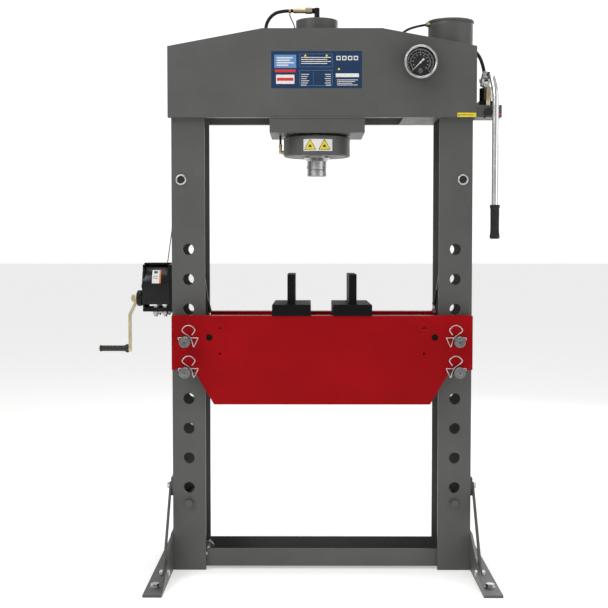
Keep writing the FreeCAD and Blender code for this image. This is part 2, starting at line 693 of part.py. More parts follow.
# ---- hoses and lines ----------------------------------------------------------------------------
RETURN_PORT_Z = 1408.0
HOSE_PATH = [(550, -36, 1598), (549, -34, 1648), (543, -32, 1694), (526, -42, 1732), (494, -68, 1749),
             (450, -88, 1750), (400, -91, 1739), (320, -88, 1729), (235, -88, 1724), (145, -87, 1719),
             (50, -89, 1722), (-32, -87, 1717), (-90, -82, 1718), (-140, -64, 1732), (-174, -38, 1762),
             (-188, -12, 1798), (-190, 0, 1837), (-173, 0, 1868), (-142, 0, 1886), (-96, 0, 1886)]
RETURN_PATH = [(-140, 0, 1436), (-140, 0, 1500), (-141, -6, 1570), (-137, -24, 1632), (-115, -54, 1678),
               (-66, -80, 1693), (5, -86, 1690), (75, -82, 1688), (140, -70, 1694), (200, -58, 1720),
               (240, -48, 1764), (266, -40, 1803), (305, -31, 1826), (350, -24, 1834)]
LINE_PATH = [(-108, 0, 1871), (-103, -4, 1857), (-94, -19, 1838), (-88, -38, 1808), (-82, -58, 1775),
             (-55, -76, 1756), (-5, -82, 1750), (60, -80, 1752), (122, -77, 1746), (184, -75, 1742),
             (240, -75, 1732), (282, -73, 1712), (310, -71, 1695)]


def hose_fittings():
    """The hoses' ferrules, nuts, elbows and the tank's return union."""
    pieces = []
    x, y, z = HOSE_PATH[0]
    pieces.append(ring(V(x, y, z - 16), V(x, y, z - GAP), 9, HOSE_R - 2))
    pieces.append(hexagon(V(x, y, BLOCK_Z1), V(0, 0, z - 16 - BLOCK_Z1), 17))
    # relief valve plugs beside the pump's barrel
    plug = V(PUMP_X + 3, PUMP_Y - 34, BLOCK_Z1)
    spigot = rod(plug, plug + V(0, 0, 20), 8).fuse(hexagon(plug + V(0, 0, 20), V(0, 0, 20), 22))
    pieces.append(spigot.removeSplitter())
    pieces.append(hexagon(plug + V(0, 0, 40), V(0, 0, 20), 19))
    # band clamp, crimp, ferrule, nut and elbow over the ram
    x, y, z = HOSE_PATH[-1]
    clamp = ring(V(x - 15, y, z), V(x - 9, y, z), HOSE_R + 3, HOSE_R)
    nipple = along_z(x - 12, y, LINE_PATH[0][2] + 1, z - HOSE_R, 3.5).cut(along_x(y, z, x - 20, x, HOSE_R))
    pieces.append(clamp.fuse(nipple).removeSplitter())
    pieces.append(ring(V(x, y, z), V(x + 3, y, z), 8, 3))
    pieces.append(ring(V(x + 3, y, z), V(x + 41, y, z), 8.5, 3))
    pieces.append(hexagon(V(x + 41, y, z), V(22, 0, 0), 19).cut(along_x(y, z, x + 40, x + 64, 3)))
    body = hexagon(V(x + 63, y, z), V(15, 0, 0), 16)
    top = along_z(RAM_X, 0, BARREL_TOP, z + 9, 9)
    pieces.append(body.fuse(top).removeSplitter())
    # return elbow on the gland
    x, y, z = RETURN_PATH[0]
    wall = RAM_X - COLLAR_R
    pieces.append(ring(V(x, y, z - 10), V(x, y, z), 6, 2.5))
    elbow = along_x(0, RETURN_PORT_Z, x - 5, wall + 8, 4.7)
    elbow = elbow.fuse([along_z(x, 0, RETURN_PORT_Z, z - 10, 5),
                        hexagon(V(wall - 6, 0, RETURN_PORT_Z), V(5.7, 0, 0), 13)])
    pieces.append(elbow.removeSplitter())
    # union on the tank
    end, before = V(*RETURN_PATH[-1]), V(*RETURN_PATH[-2])
    along = (end - before).normalize()
    union = rod(end, end + along * 18, 6).fuse(hexagon(end + along * 1, along * 7, 15))
    union = union.cut(along_z(TANK_X, 0, UPRIGHT_TOP, TANK_TOP + 20, TANK_R + 0.1))
    pieces.append(union)
    return pieces


# ---- gauge --------------------------------------------------------------------------------------
def gauge_case():
    """The cup, its stem through the beam's plate and the nut that the gauge line enters."""
    cup = along_y(GAUGE_X, GAUGE_Z, GAUGE_FRONT + 8, CASE_BACK, CASE_R)
    cup = cup.cut(along_y(GAUGE_X, GAUGE_Z, GAUGE_FRONT + 7, CASE_BACK - 3, CASE_R - 3))
    cup = cup.cut(along_y(GAUGE_X, GAUGE_Z, CASE_BACK - 4, CASE_BACK - 0.5, 2 + RUNNING))
    cup = cup.fuse(along_y(GAUGE_X, GAUGE_Z, CASE_BACK, -UPRIGHT_D / 2 + 14, STEM_R))
    cup = cup.fuse(along_y(GAUGE_X, GAUGE_Z, CASE_BACK, -BEAM_Y, 15)).removeSplitter()
    back = hexagon(V(GAUGE_X, -UPRIGHT_D / 2, GAUGE_Z), V(0, 8, 0), 27)
    back = back.cut(along_y(GAUGE_X, GAUGE_Z, -UPRIGHT_D / 2 - 1, -UPRIGHT_D / 2 + 20, STEM_R))
    end, before = V(*LINE_PATH[-1]), V(*LINE_PATH[-2])
    along = (end - before).normalize()
    tail = rod(end, end + along * 16, 5)
    tail = tail.cut(along_y(GAUGE_X, GAUGE_Z, CASE_BACK, -UPRIGHT_D / 2 + 14, STEM_R))
    tail = tail.fuse(along_y(GAUGE_X, GAUGE_Z, -UPRIGHT_D / 2 + 14, -UPRIGHT_D / 2 + 34, 8))
    return [cup, back, tail.removeSplitter()]


def gauge_bezel():
    front = GAUGE_FRONT
    body = ring(V(GAUGE_X, front, GAUGE_Z), V(GAUGE_X, front + 12, GAUGE_Z), BEZEL_R, CASE_R - 4)
    seat = along_y(GAUGE_X, GAUGE_Z, front + 5, front + 12, CASE_R + GAP)
    body = body.cut(seat)
    outer = [e for e in body.Edges if e.BoundBox.YMax < front + 0.1 and e.Curve.Radius > BEZEL_R - 1]
    return body.makeFillet(3, outer)


def gauge_dial():
    y = CASE_BACK - 22
    disc = along_y(GAUGE_X, GAUGE_Z, y, y + 1, CASE_R - 3.2)
    return disc.cut(along_y(GAUGE_X, GAUGE_Z, y - 1, y + 2, 2.4))


def gauge_pointer():
    """A tapered hand with a broad tail, on its spindle; at rest it points down to the left."""
    y = CASE_BACK - 26
    lean = V(-math.sqrt(0.5), 0, -math.sqrt(0.5))
    across = V(lean.z, 0, -lean.x)
    centre = V(GAUGE_X, y, GAUGE_Z)
    hand = prism([centre + lean * 38, centre + lean * 2 + across * 3.2, centre - lean * 17 + across * 4.6,
                  centre - lean * 17 - across * 4.6, centre + lean * 2 - across * 3.2], V(0, 1.2, 0))
    hub = along_y(GAUGE_X, GAUGE_Z, y - 2, y + 2, 5)
    spindle = along_y(GAUGE_X, GAUGE_Z, y, CASE_BACK - 0.8, 2)
    return hand.fuse([hub, spindle]).removeSplitter()


def gauge_glass():
    return along_y(GAUGE_X, GAUGE_Z, GAUGE_FRONT + 5, GAUGE_FRONT + 8, CASE_R - 0.2)


# ---- ropes and pulleys --------------------------------------------------------------------------
def pulley(x, z, bore):
    """A grooved wheel about a line along Y."""
    half, groove = PULLEY_W / 2, ROPE_BEND - ROPE_R - GAP
    profile = [(bore, -half), (PULLEY_FLANGE_R, -half), (PULLEY_FLANGE_R, -half + 2), (groove, -ROPE_R - 1),
               (groove, ROPE_R + 1), (PULLEY_FLANGE_R, half - 2), (PULLEY_FLANGE_R, half), (bore, half)]
    return turned(profile, V(x, 0, z), ALONG_Y)


def pulley_axles():
    """The two upper axles with their collars, and the two axles in the crossmember."""
    pieces = []
    half = UPRIGHT_D / 2
    for side in SIDES:
        x = side * PULLEY_X
        pieces.append(along_y(x, PULLEY_Z, -half - 1, half + 1, AXLE_R))
        for end in SIDES:
            for near, far, radius in ((half, half + 6, COLLAR_RING_R),
                                      (PULLEY_W / 2 + GAP, PULLEY_W / 2 + 8, AXLE_R + 4)):
                pieces.append(ring(V(x, end * near, PULLEY_Z), V(x, end * far, PULLEY_Z), radius, AXLE_R))
    inner = FLANGE_IN - GAP
    for x in (LEFT_SHEAVE_X, RIGHT_SHEAVE_X):
        pieces.append(along_y(x, SHEAVE_Z, -inner, inner, SHEAVE_AXLE_R))
        for end in SIDES:
            pieces.append(ring(V(x, end * (PULLEY_W / 2 + GAP), SHEAVE_Z),
                               V(x, end * (inner - CROSS_T), SHEAVE_Z), SHEAVE_AXLE_R + 4, SHEAVE_AXLE_R))
    return pieces


def touching(point, centre, side):
    """The angle at which a line from the point meets the rope's circle on one side of it."""
    reach = math.hypot(point[0] - centre[0], point[1] - centre[1])
    towards = math.atan2(point[1] - centre[1], point[0] - centre[0])
    return towards + side * math.acos(ROPE_BEND / reach)


def rope_path(start, turns, end):
    """Straight runs, and an arc round each (centre x, centre z, direction) that the rope passes.

    direction is 1 where the rope goes round anticlockwise as the operator sees it, -1 clockwise.
    """
    edges = []
    last = start
    stops = turns + [(end[0], end[1], 0)]
    for (cx, cz, way), nxt in zip(turns, stops[1:]):
        first = touching(last, (cx, cz), way)
        if nxt[2]:
            level = math.atan2(nxt[1] - cz, nxt[0] - cx)
            leave = level - way * math.pi / 2
        else:
            leave = touching(end, (cx, cz), -way)
        sweep = (leave - first) * way % (2 * math.pi) * way
        points = []
        for share in (0, 0.5, 1):
            angle = first + sweep * share
            points.append(V(cx + ROPE_BEND * math.cos(angle), 0, cz + ROPE_BEND * math.sin(angle)))
        edges.append(Part.LineSegment(V(last[0], 0, last[1]), points[0]).toShape())
        edges.append(Part.Arc(*points).toShape())
        last = (points[2].x, points[2].z)
    edges.append(Part.LineSegment(V(last[0], 0, last[1]), V(end[0], 0, end[1])).toShape())
    return Part.Wire(edges)


def rope(name, path):
    solid = swept(path, ROPE_R)
    expected = math.pi * ROPE_R ** 2 * path.Length
    print(name, "length %.0f" % path.Length, "volume ratio %.4f" % (solid.Volume / expected))
    return solid


WINCH_ROPE_START = (WINCH_X1 - 26, DRUM_Z + 17)
SLEEVE = (38.0, 48.0)


def winch_rope_path():
    return rope_path(WINCH_ROPE_START, [(-PULLEY_X, PULLEY_Z, -1)], sleeve_top(-1))


def level_rope_path():
    turns = [(PULLEY_X, PULLEY_Z, -1), (RIGHT_SHEAVE_X, SHEAVE_Z, -1), (LEFT_SHEAVE_X, SHEAVE_Z, -1)]
    return rope_path(sleeve_top(1), turns, (LEFT_SHEAVE_X - ROPE_BEND, LOWER_ROPE_Z))


def rope_end(side):
    return LEFT_ROPE_END if side < 0 else RIGHT_ROPE_END


def sleeve_top(side):
    """Where a rope goes into its sleeve, on the line to the pulley's inner side."""
    end = rope_end(side)
    inner = side * (PULLEY_X - ROPE_BEND)
    lean = math.atan2(PULLEY_Z - end[1], inner - end[0])
    length = SLEEVE[0] if side < 0 else SLEEVE[1]
    return (end[0] + length * math.cos(lean), end[1] + length * math.sin(lean))


def rope_ends():
    """Sleeves and shackles at the bed's upper lugs, and the swaged end under the lower lug."""
    pieces = []
    for side in SIDES:
        end, top = rope_end(side), sleeve_top(side)
        low, high = V(end[0], 0, end[1]), V(top[0], 0, top[1])
        along = high - low
        sleeve = Part.makeCone(7, 3.5, along.Length, low, along)
        pieces.append(sleeve)
        lug_z = end[1] - 24
        bow = [V(end[0], -8, lug_z), V(end[0], -8, end[1] - 6), V(end[0], 8, end[1] - 6), V(end[0], 8, lug_z)]
        wire, _ = rounded_path(bow, 7.5)
        shackle = swept(wire, 3)
        for y in (-8, 8):
            shackle = shackle.fuse(along_y(end[0], lug_z, y - 3, y + 3, 6))
        shackle = shackle.cut(along_y(end[0], lug_z, -20, 20, 3))
        pieces.append(shackle.cut(sleeve))
        pin = along_y(end[0], lug_z, -15, 15, 3).fuse(hexagon(V(end[0], -15, lug_z), V(0, 4, 0), 10))
        pieces.append(pin)
    x = LEFT_SHEAVE_X - ROPE_BEND
    pieces.append(along_z(x, 0, LOWER_ROPE_Z, LOWER_ROPE_Z + 16, 4.5))
    return pieces


# ---- bed ----------------------------------------------------------------------------------------
def bed_plate(side):
    """A deep plate with a narrow top flange, a boss at each upper pin and saddles for the lower ones."""
    outline = [(-BED_HALF, BED_SIDE_Z), (-BED_STEP_X, BED_SIDE_Z), (-BED_LOW_X, BED_Z0),
               (BED_LOW_X, BED_Z0), (BED_STEP_X, BED_SIDE_Z), (BED_HALF, BED_SIDE_Z),
               (BED_HALF, BED_TOP), (-BED_HALF, BED_TOP)]
    inner = side * (BED_Y - BED_T)
    plate = prism([V(x, inner, z) for x, z in outline], V(0, side * BED_T, 0))
    near = side * BED_FLANGE_Y
    flange = box(-BED_HALF, BED_HALF, near, inner, BED_TOP - BED_FLANGE_T, BED_TOP)
    bosses = []
    for end in SIDES:
        bosses.append(along_y(end * PIN_X, BED_PIN_Z[0], near, inner, BOSS_R))
        saddle = along_y(end * PIN_X, BED_PIN_Z[1], near, inner, BOSS_R)
        bosses.append(saddle.common(box(end * (PIN_X - 40), end * (PIN_X + 40), near, inner,
                                        BED_SIDE_Z, BED_SIDE_Z + 40)))
    body = plate.fuse([flange] + bosses).removeSplitter()
    holes = []
    far = BED_Y + 5
    for end in SIDES:
        for z in BED_PIN_Z:
            holes.append(along_y(end * PIN_X, z, side * 90, side * far, HOLE_R))
        holes.append(along_y(end * TIE_ROD_X, TIE_ROD_Z, side * 120, side * far, TIE_ROD_R + GAP))
        for z in (821, 738):
            holes.append(along_y(end * 334.5, z, side * 120, side * far, 4))
    return body.cut(Part.makeCompound(holes))


def bed_spacers():
    """End plates with the ropes' lugs, tie rods beside them and three tie tubes below."""
    pieces = []
    half = BED_Y - BED_T
    for side in SIDES:
        near, far = side * (END_PLATE_X - END_PLATE_T), side * END_PLATE_X
        plate = box(near, far, -half, half, 700, BED_TOP - BED_FLANGE_T)
        end = rope_end(side)
        lug_z = end[1] - 24
        lug = box(side * (END_PLATE_X - 1), end[0] + side * 9, -4, 4, BED_TOP - 60, lug_z)
        lug = lug.fuse(along_y(end[0], lug_z, -4, 4, 9))
        plate = plate.fuse(lug)
        if side < 0:
            x = LEFT_SHEAVE_X - ROPE_BEND
            tab = box(-END_PLATE_X, x - 7, -14, 14, LOWER_ROPE_Z + 16, LOWER_ROPE_Z + 26)
            plate = plate.fuse(tab)
        plate = plate.cut(along_y(end[0], lug_z, -20, 20, 3))
        pieces.append(plate.removeSplitter())
        pieces.append(along_y(side * TIE_ROD_X, TIE_ROD_Z, 3 - BED_Y, BED_Y - 3, TIE_ROD_R))
    for x, z in ((-250, 620), (0, 620), (250, 620)):
        pieces.append(ring(V(x, -half, z), V(x, half, z), 20, 15))
    return pieces


def clip(side, z):
    """A bent-wire clip: a leg through the pin, a triangle on one side and a finger loop on top."""
    x = side * PIN_X
    route = [(-20.8, 4.5, 0), (-22.5, CLIP_LEG, 0), (42, CLIP_LEG, 0), (28, -17, -2), (21.9, 3.1, -4.2),
             (13.6, 17.4, -4.2), (-0.8, 22.1, -4.2), (-10.4, 37, -4.2), (-3.5, 49, -4.2), (11.3, 54, -4.2),
             (26, 49, -4.2), (33, 37, -4.2), (22.5, 22.5, -4.2)]
    points = [V(x - side * u * CLIP_SCALE, CLIP_Y + y, z + w * CLIP_SCALE) for u, w, y in route]
    path, _ = rounded_path(points, 6)
    return swept(path, WIRE_R)


def bed_pin(side, z):
    """A plain bar, centre-drilled at its ends, with its wire clip."""
    x = side * PIN_X
    bar = along_y(x, z, PIN_FRONT, PIN_REAR, PIN_R)
    bar = bar.makeChamfer(1.2, [e for e in bar.Edges if len(e.Vertexes) == 1])
    for end, along in ((PIN_FRONT, Y), (PIN_REAR, -Y)):
        bar = bar.cut(Part.makeCone(3.2, 0.4, 4.5, V(x, end, z), along))
    bar = bar.cut(along_x(CLIP_Y, z + CLIP_LEG * CLIP_SCALE, x - 30, x + 30, WIRE_R + GAP))
    return [bar, clip(side, z)]


def press_block(side):
    """A loose bearing plate with an upright fin welded to it."""
    inner, outer = side * BLOCK_IN, side * (BLOCK_IN + BLOCK_W)
    plate = box(inner, outer, -BLOCK_HALF_Y, BLOCK_HALF_Y, BED_TOP, BED_TOP + BLOCK_T)
    plate = plate.makeChamfer(2, [e for e in plate.Edges if e.BoundBox.ZMin > BED_TOP + 1])
    for y in (-BLOCK_HALF_Y + 22, BLOCK_HALF_Y - 22):
        plate = plate.cut(along_z(inner + side * 22, y, BED_TOP - 1, BED_TOP + BLOCK_T + 1, 6))
    fin = box(side * (FIN_OUT - FIN_T), side * FIN_OUT, FIN_Y0, FIN_Y1, BED_TOP + BLOCK_T, FIN_TOP)
    fin = fin.makeFillet(6, [e for e in fin.Edges if abs(e.BoundBox.ZMin - FIN_TOP) < 0.01
                             and e.BoundBox.YLength < 1])
    return [plate, fin]


# ---- winch --------------------------------------------------------------------------------------
def winch_frame():
    """The shelf bracket on the upright, and the U-shaped frame that stands on it."""
    shelf = box(WINCH_X0, -FRAME_HALF, WINCH_Y0, WINCH_Y1, SHELF_Z, SHELF_Z + SHELF_PLATE)
    back = box(-FRAME_HALF - SHELF_PLATE, -FRAME_HALF, WINCH_Y0, WINCH_Y1, SHELF_Z, WINCH_TOP)
    bracket = shelf.fuse(back).removeSplitter()
    base_z = SHELF_Z + SHELF_PLATE
    shell = box(WINCH_X0, WINCH_X1, WINCH_Y0, WINCH_Y1, base_z, WINCH_TOP)
    shell = shell.cut(box(WINCH_X0 + WINCH_PLATE, WINCH_X1 - WINCH_PLATE, WINCH_Y0 - 1, WINCH_Y1 + 1,
                          base_z + WINCH_PLATE, WINCH_TOP + 1))
    shell = shell.cut(along_x(DRUM_Y, DRUM_Z, WINCH_X0 - 1, WINCH_X1 + 1, DRUM_AXLE_R))
    shell = shell.cut(along_x(CRANK_Y, CRANK_Z, WINCH_X0 - 1, WINCH_X1 + 1, SHAFT_R + RUNNING))
    for x, y in SHELF_BOLTS:
        hole = along_z(x, y, SHELF_Z - 1, base_z + WINCH_PLATE + 1, 6)
        shell, bracket = shell.cut(hole), bracket.cut(hole)
    for y, z in WINCH_BOLTS:
        bracket = bracket.cut(along_x(y, z, -FRAME_HALF - SHELF_PLATE - 1, -FRAME_HALF + 1, 6))
    axle = along_x(DRUM_Y, DRUM_Z, WINCH_X0 - 13, WINCH_X1, DRUM_AXLE_R)
    axle_nut = nut(V(WINCH_X0, DRUM_Y, DRUM_Z), V(-9, 0, 0), DRUM_AXLE_R)
    return [bracket, shell, axle, axle_nut]


def winch_cover():
    """A curved sheet over the drum's front, and the flat top with the rope's slot."""
    x0, x1 = WINCH_X0 + WINCH_PLATE + GAP, WINCH_X1 - WINCH_PLATE - GAP
    outer = along_x(DRUM_Y, COVER_Z, x0, x1, COVER_R)
    inner = along_x(DRUM_Y, COVER_Z, x0 - 1, x1 + 1, COVER_R - COVER_T)
    arc = outer.cut(inner).common(box(x0, x1, DRUM_Y - COVER_R, DRUM_Y, COVER_Z, COVER_Z + COVER_R))
    front = DRUM_Y - COVER_R
    skirt = box(x0, x1, front, front + COVER_T, COVER_Z0, COVER_Z)
    curved = arc.fuse(skirt).removeSplitter()
    top = box(WINCH_X0, -FRAME_HALF - 1, WINCH_Y0 - 3, WINCH_Y1 + 3, WINCH_TOP, WINCH_TOP + 6)
    top = top.cut(box(WINCH_X1 - 27, WINCH_X1 - 7, -8, 8, WINCH_TOP - 1, WINCH_TOP + 7))
    return [curved, top]


def tooth_ring(teeth, x, width, centre, phase, thin):
    """A spur gear about a line along X: teeth with straight flanks either side of the pitch circle."""
    pitch = MODULE * teeth / 2
    tip, root = pitch + 0.8 * MODULE, pitch - 1.05 * MODULE
    step = 2 * math.pi / teeth
    half = step / 4 - thin / pitch
    slope = math.tan(math.radians(22))
    points = []
    for tooth in range(teeth):
        middle = phase + tooth * step
        for radius, way in ((root, -1), (tip, -1), (tip, 1), (root, 1)):
            angle = middle + way * max(half - (radius - pitch) * slope / pitch, 0.12 * step)
            points.append(V(x, centre[0] + radius * math.cos(angle), centre[1] + radius * math.sin(angle)))
    return prism(points, V(width, 0, 0))


def gear_phases():
    """The turn of each gear that puts a pinion gap on a gear tooth along the line of centres."""
    line = math.atan2(CRANK_Z - DRUM_Z, CRANK_Y - DRUM_Y)
    return line, line + math.pi + math.pi / PINION_TEETH


def winch_drum():
    """The spool, the rope wound on it and its gear."""
    core = along_x(DRUM_Y, DRUM_Z, DRUM_X0, DRUM_X1, DRUM_CORE_R)
    for x0, x1 in ((DRUM_X0 - 3, DRUM_X0), (DRUM_X1, DRUM_X1 + 2.5)):
        core = core.fuse(along_x(DRUM_Y, DRUM_Z, x0, x1, DRUM_FLANGE_R - 8))
    core = core.cut(along_x(DRUM_Y, DRUM_Z, WINCH_X0, WINCH_X1, DRUM_AXLE_R + RUNNING))
    wound = ring(V(DRUM_X0, DRUM_Y, DRUM_Z), V(DRUM_X1, DRUM_Y, DRUM_Z), DRUM_CORE_R + 2 * ROPE_R, DRUM_CORE_R)
    phase = gear_phases()[0]
    gear = tooth_ring(GEAR_TEETH, GEAR_X, GEAR_W, (DRUM_Y, DRUM_Z), phase, 0.12)
    hub = along_x(DRUM_Y, DRUM_Z, GEAR_X + GEAR_W, DRUM_X0 - 3, 20)
    gear = gear.fuse(hub).removeSplitter()
    gear = gear.cut(along_x(DRUM_Y, DRUM_Z, WINCH_X0, WINCH_X1, DRUM_AXLE_R + RUNNING))
    return [core.removeSplitter(), wound, gear]


def winch_pinion_shaft():
    """The crank's shaft with its pinion, the ratchet hub and the nut that holds the crank."""
    shaft = along_x(CRANK_Y, CRANK_Z, HUB_X0 - 20, WINCH_X1, SHAFT_R)
    phase = gear_phases()[1]
    pinion = tooth_ring(PINION_TEETH, GEAR_X - 0.5, GEAR_W + 1, (CRANK_Y, CRANK_Z), phase, 0.12)
    shaft = shaft.fuse(pinion).removeSplitter()
    profile = [(SHAFT_R, 0), (HUB_R - 6, 0), (HUB_R, 4), (HUB_R, 15), (HUB_R - 3, 19), (SHAFT_R, 19)]
    hub = turned(profile, V(HUB_X0, CRANK_Y, CRANK_Z), ALONG_X)
    lock = nut(V(HUB_X0 - CRANK_T, CRANK_Y, CRANK_Z), V(-9, 0, 0), SHAFT_R)
    return [shaft, hub, lock]


def crank_arm():
    """A bent flat bar with an eye on the shaft, and the spindle that its grip turns on."""
    half = CRANK_W / 2
    eye_x1 = HUB_X0
    eye_x0 = eye_x1 - CRANK_T
    out = CRANK_OUT_X
    outline = [(eye_x1, CRANK_Z + 2), (eye_x1, CRANK_Z - 16), (out + CRANK_T / 2, CRANK_BEND_Z - 2),
               (out + CRANK_T / 2, CRANK_GRIP_Z), (out - CRANK_T / 2, CRANK_GRIP_Z),
               (out - CRANK_T / 2, CRANK_BEND_Z + 2), (eye_x0, CRANK_Z - 13), (eye_x0, CRANK_Z + 2)]
    bar = prism([V(x, CRANK_Y - half, z) for x, z in outline], V(0, CRANK_W, 0))
    bar = bar.fuse([along_x(CRANK_Y, CRANK_Z, eye_x0, eye_x1, half),
                    along_x(CRANK_Y, CRANK_GRIP_Z, out - CRANK_T / 2, out + CRANK_T / 2, half)])
    bar = bar.removeSplitter().cut(along_x(CRANK_Y, CRANK_Z, eye_x0 - 1, eye_x1 + 1, SHAFT_R))
    spindle = along_x(CRANK_Y, CRANK_GRIP_Z, CRANK_END_X, out - CRANK_T / 2, SPINDLE_R)
    head = along_x(CRANK_Y, CRANK_GRIP_Z, CRANK_END_X, CRANK_END_X + 3, SPINDLE_R + 3)
    return [bar, spindle.fuse(head).removeSplitter()]


def crank_grip():
    start = CRANK_END_X + 3 + GAP
    length = CRANK_OUT_X - CRANK_T / 2 - GAP - start
    radius, bore = CRANK_GRIP_R, SPINDLE_R + RUNNING
    profile = [(bore, 0), (radius - 1, 0), (radius + 1, 3), (radius, 12), (radius - 1, length * 0.5),
               (radius, length - 14), (CRANK_FLANGE_R, length - 8), (CRANK_FLANGE_R, length - 2),
               (radius, length), (bore, length)]
    return turned(profile, V(start, CRANK_Y, CRANK_GRIP_Z), ALONG_X)


# ---- write every node ---------------------------------------------------------------------------
SIDE_NAME = {-1: "left", 1: "right"}
for side in SIDES:
    save("%s_upright" % SIDE_NAME[side], upright(side))
    save("%s_foot" % SIDE_NAME[side], foot(side))
    save("%s_press_block" % SIDE_NAME[side], *press_block(side))
    save("%s_pulley" % SIDE_NAME[side], pulley(side * PULLEY_X, PULLEY_Z, AXLE_R + RUNNING))
    for level, z in zip(("upper", "lower"), BED_PIN_Z):
        save("%s_%s_bed_pin" % (SIDE_NAME[side], level), *bed_pin(side, z))
save("left_base_sheave", pulley(LEFT_SHEAVE_X, SHEAVE_Z, SHEAVE_AXLE_R + RUNNING))
save("right_base_sheave", pulley(RIGHT_SHEAVE_X, SHEAVE_Z, SHEAVE_AXLE_R + RUNNING))
save("beam_front_plate", beam_plate(-1))
save("beam_rear_plate", beam_plate(1))
save("beam_stiffeners", *beam_stiffeners())
save("head_mount_plate", head_mount_plate())
save("base_crossmember", base_crossmember())
save("foot_braces", *braces())
save("frame_bolts", *frame_bolts())
save("cylinder_barrel", cylinder_barrel())
save("cylinder_collar", cylinder_collar())
save("rod_wiper", rod_wiper())
save("piston", *piston())
save("piston_rod", piston_rod())
save("ram_nose", *ram_nose())
save("nose_cap", nose_cap())
save("oil_tank", oil_tank())
save("tank_lid", tank_lid())
save("filler_plug", filler_plug())
save("pump_block", *pump_block())
save("pump_cylinder", pump_cylinder())
save("pump_plunger", pump_plunger())
save("pump_lever", *pump_lever())
save("handle_tube", handle_tube())
save("handle_grip", handle_grip())
save("release_valve", *release_valve())
save("pressure_hose", cord("pressure hose", HOSE_PATH, HOSE_R))
save("return_hose", cord("return hose", RETURN_PATH, RETURN_R))
save("gauge_line", cord("gauge line", LINE_PATH, LINE_R))
save("hose_fittings", *hose_fittings())
save("gauge_case", *gauge_case())
save("gauge_bezel", gauge_bezel())
save("gauge_dial", gauge_dial())
save("gauge_pointer", gauge_pointer())
save("gauge_glass", gauge_glass())
save("pulley_axles", *pulley_axles())
save("winch_rope", rope("winch rope", winch_rope_path()))
save("level_rope", rope("level rope", level_rope_path()))
save("rope_ends", *rope_ends())
save("bed_front_plate", bed_plate(-1))
save("bed_rear_plate", bed_plate(1))
save("bed_spacers", *bed_spacers())
save("winch_frame", *winch_frame())
save("winch_cover", *winch_cover())
save("winch_drum", *winch_drum())
save("winch_pinion_shaft", *winch_pinion_shaft())
save("crank_arm", *crank_arm())
save("crank_grip", crank_grip())
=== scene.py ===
"""The finish of a hydraulic shop press: paint, bright steel, hoses, ropes, dial and labels on its frame."""
import json
import math
import random

import bmesh
import bpy
from mathutils import Matrix, Vector

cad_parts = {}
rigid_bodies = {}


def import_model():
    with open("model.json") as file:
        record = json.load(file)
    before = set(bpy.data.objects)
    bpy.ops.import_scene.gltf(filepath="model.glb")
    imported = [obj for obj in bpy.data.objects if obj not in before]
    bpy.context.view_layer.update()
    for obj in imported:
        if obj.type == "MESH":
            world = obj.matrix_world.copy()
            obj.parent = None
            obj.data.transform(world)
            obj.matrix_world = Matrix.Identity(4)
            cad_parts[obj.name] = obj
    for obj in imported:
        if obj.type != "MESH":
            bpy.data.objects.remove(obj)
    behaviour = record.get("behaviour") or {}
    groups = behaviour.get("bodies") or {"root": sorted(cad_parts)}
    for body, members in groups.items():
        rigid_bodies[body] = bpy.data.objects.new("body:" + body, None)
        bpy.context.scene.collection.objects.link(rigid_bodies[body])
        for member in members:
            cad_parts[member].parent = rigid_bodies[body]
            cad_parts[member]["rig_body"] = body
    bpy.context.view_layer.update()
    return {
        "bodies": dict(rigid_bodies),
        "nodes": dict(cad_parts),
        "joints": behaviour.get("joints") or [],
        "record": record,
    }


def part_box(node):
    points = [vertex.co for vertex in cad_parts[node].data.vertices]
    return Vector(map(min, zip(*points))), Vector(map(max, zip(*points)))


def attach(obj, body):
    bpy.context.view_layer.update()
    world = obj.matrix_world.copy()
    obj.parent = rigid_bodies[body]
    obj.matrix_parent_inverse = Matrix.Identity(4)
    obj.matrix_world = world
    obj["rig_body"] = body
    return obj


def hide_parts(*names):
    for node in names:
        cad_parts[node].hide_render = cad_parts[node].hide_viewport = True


bl_info = {
    "name": "Shop Press Finish",
    "version": (1, 0, 0),
    "blender": (4, 5, 0),
    "location": "View3D > Sidebar > Shop Press",
    "description": "Finishes a hydraulic shop press around its packed frame",
    "category": "Object",
}

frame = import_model()
MM = 0.001
ALONG_X, ALONG_Y, ALONG_Z = Vector((1, 0, 0)), Vector((0, 1, 0)), Vector((0, 0, 1))
SIDES = {"left": -1, "right": 1}
PINS = [side + "_" + level for side in SIDES for level in ("upper", "lower")]


# ---- settings -----------------------------------------------------------------------------------
def colour(name, description, default):
    return bpy.props.FloatVectorProperty(
        name=name, description=description, subtype="COLOR", size=3, min=0, max=1, default=default)


def length(name, description, default):
    return bpy.props.FloatProperty(
        name=name, description=description, default=default, min=0, unit="LENGTH", precision=4)


class PaintSettings(bpy.types.PropertyGroup):
    frame_grey: colour("Frame grey", "Enamel of the uprights, beam, base, tank and ram", (0.090, 0.092, 0.087))
    bed_red: colour("Bed red", "Enamel of the bed", (0.30, 0.0035, 0.006))
    black: colour("Black", "Enamel of the press blocks, pump and winch", (0.007, 0.007, 0.0075))
    broken_edge: length("Broken edge", "Radius on the edges of cut plate", 0.9 * MM)
    weld_radius: length("Weld bead", "Radius of a fillet weld's bead", 2.6 * MM)


class SteelSettings(bpy.types.PropertyGroup):
    bright: colour("Bright steel", "Turned steel of the pins and the ram's nose", (0.52, 0.52, 0.52))
    chrome: colour("Chrome", "Plate on the ram's rod and the pump's handle", (0.90, 0.90, 0.90))
    yellow_zinc: colour("Yellow zinc", "Passivated plate on the crank and fittings", (0.62, 0.54, 0.34))
    clear_zinc: colour("Clear zinc", "Plate on bolts, washers and clips", (0.62, 0.62, 0.62))
    rope: colour("Wire rope", "Galvanised strand", (0.36, 0.36, 0.36))


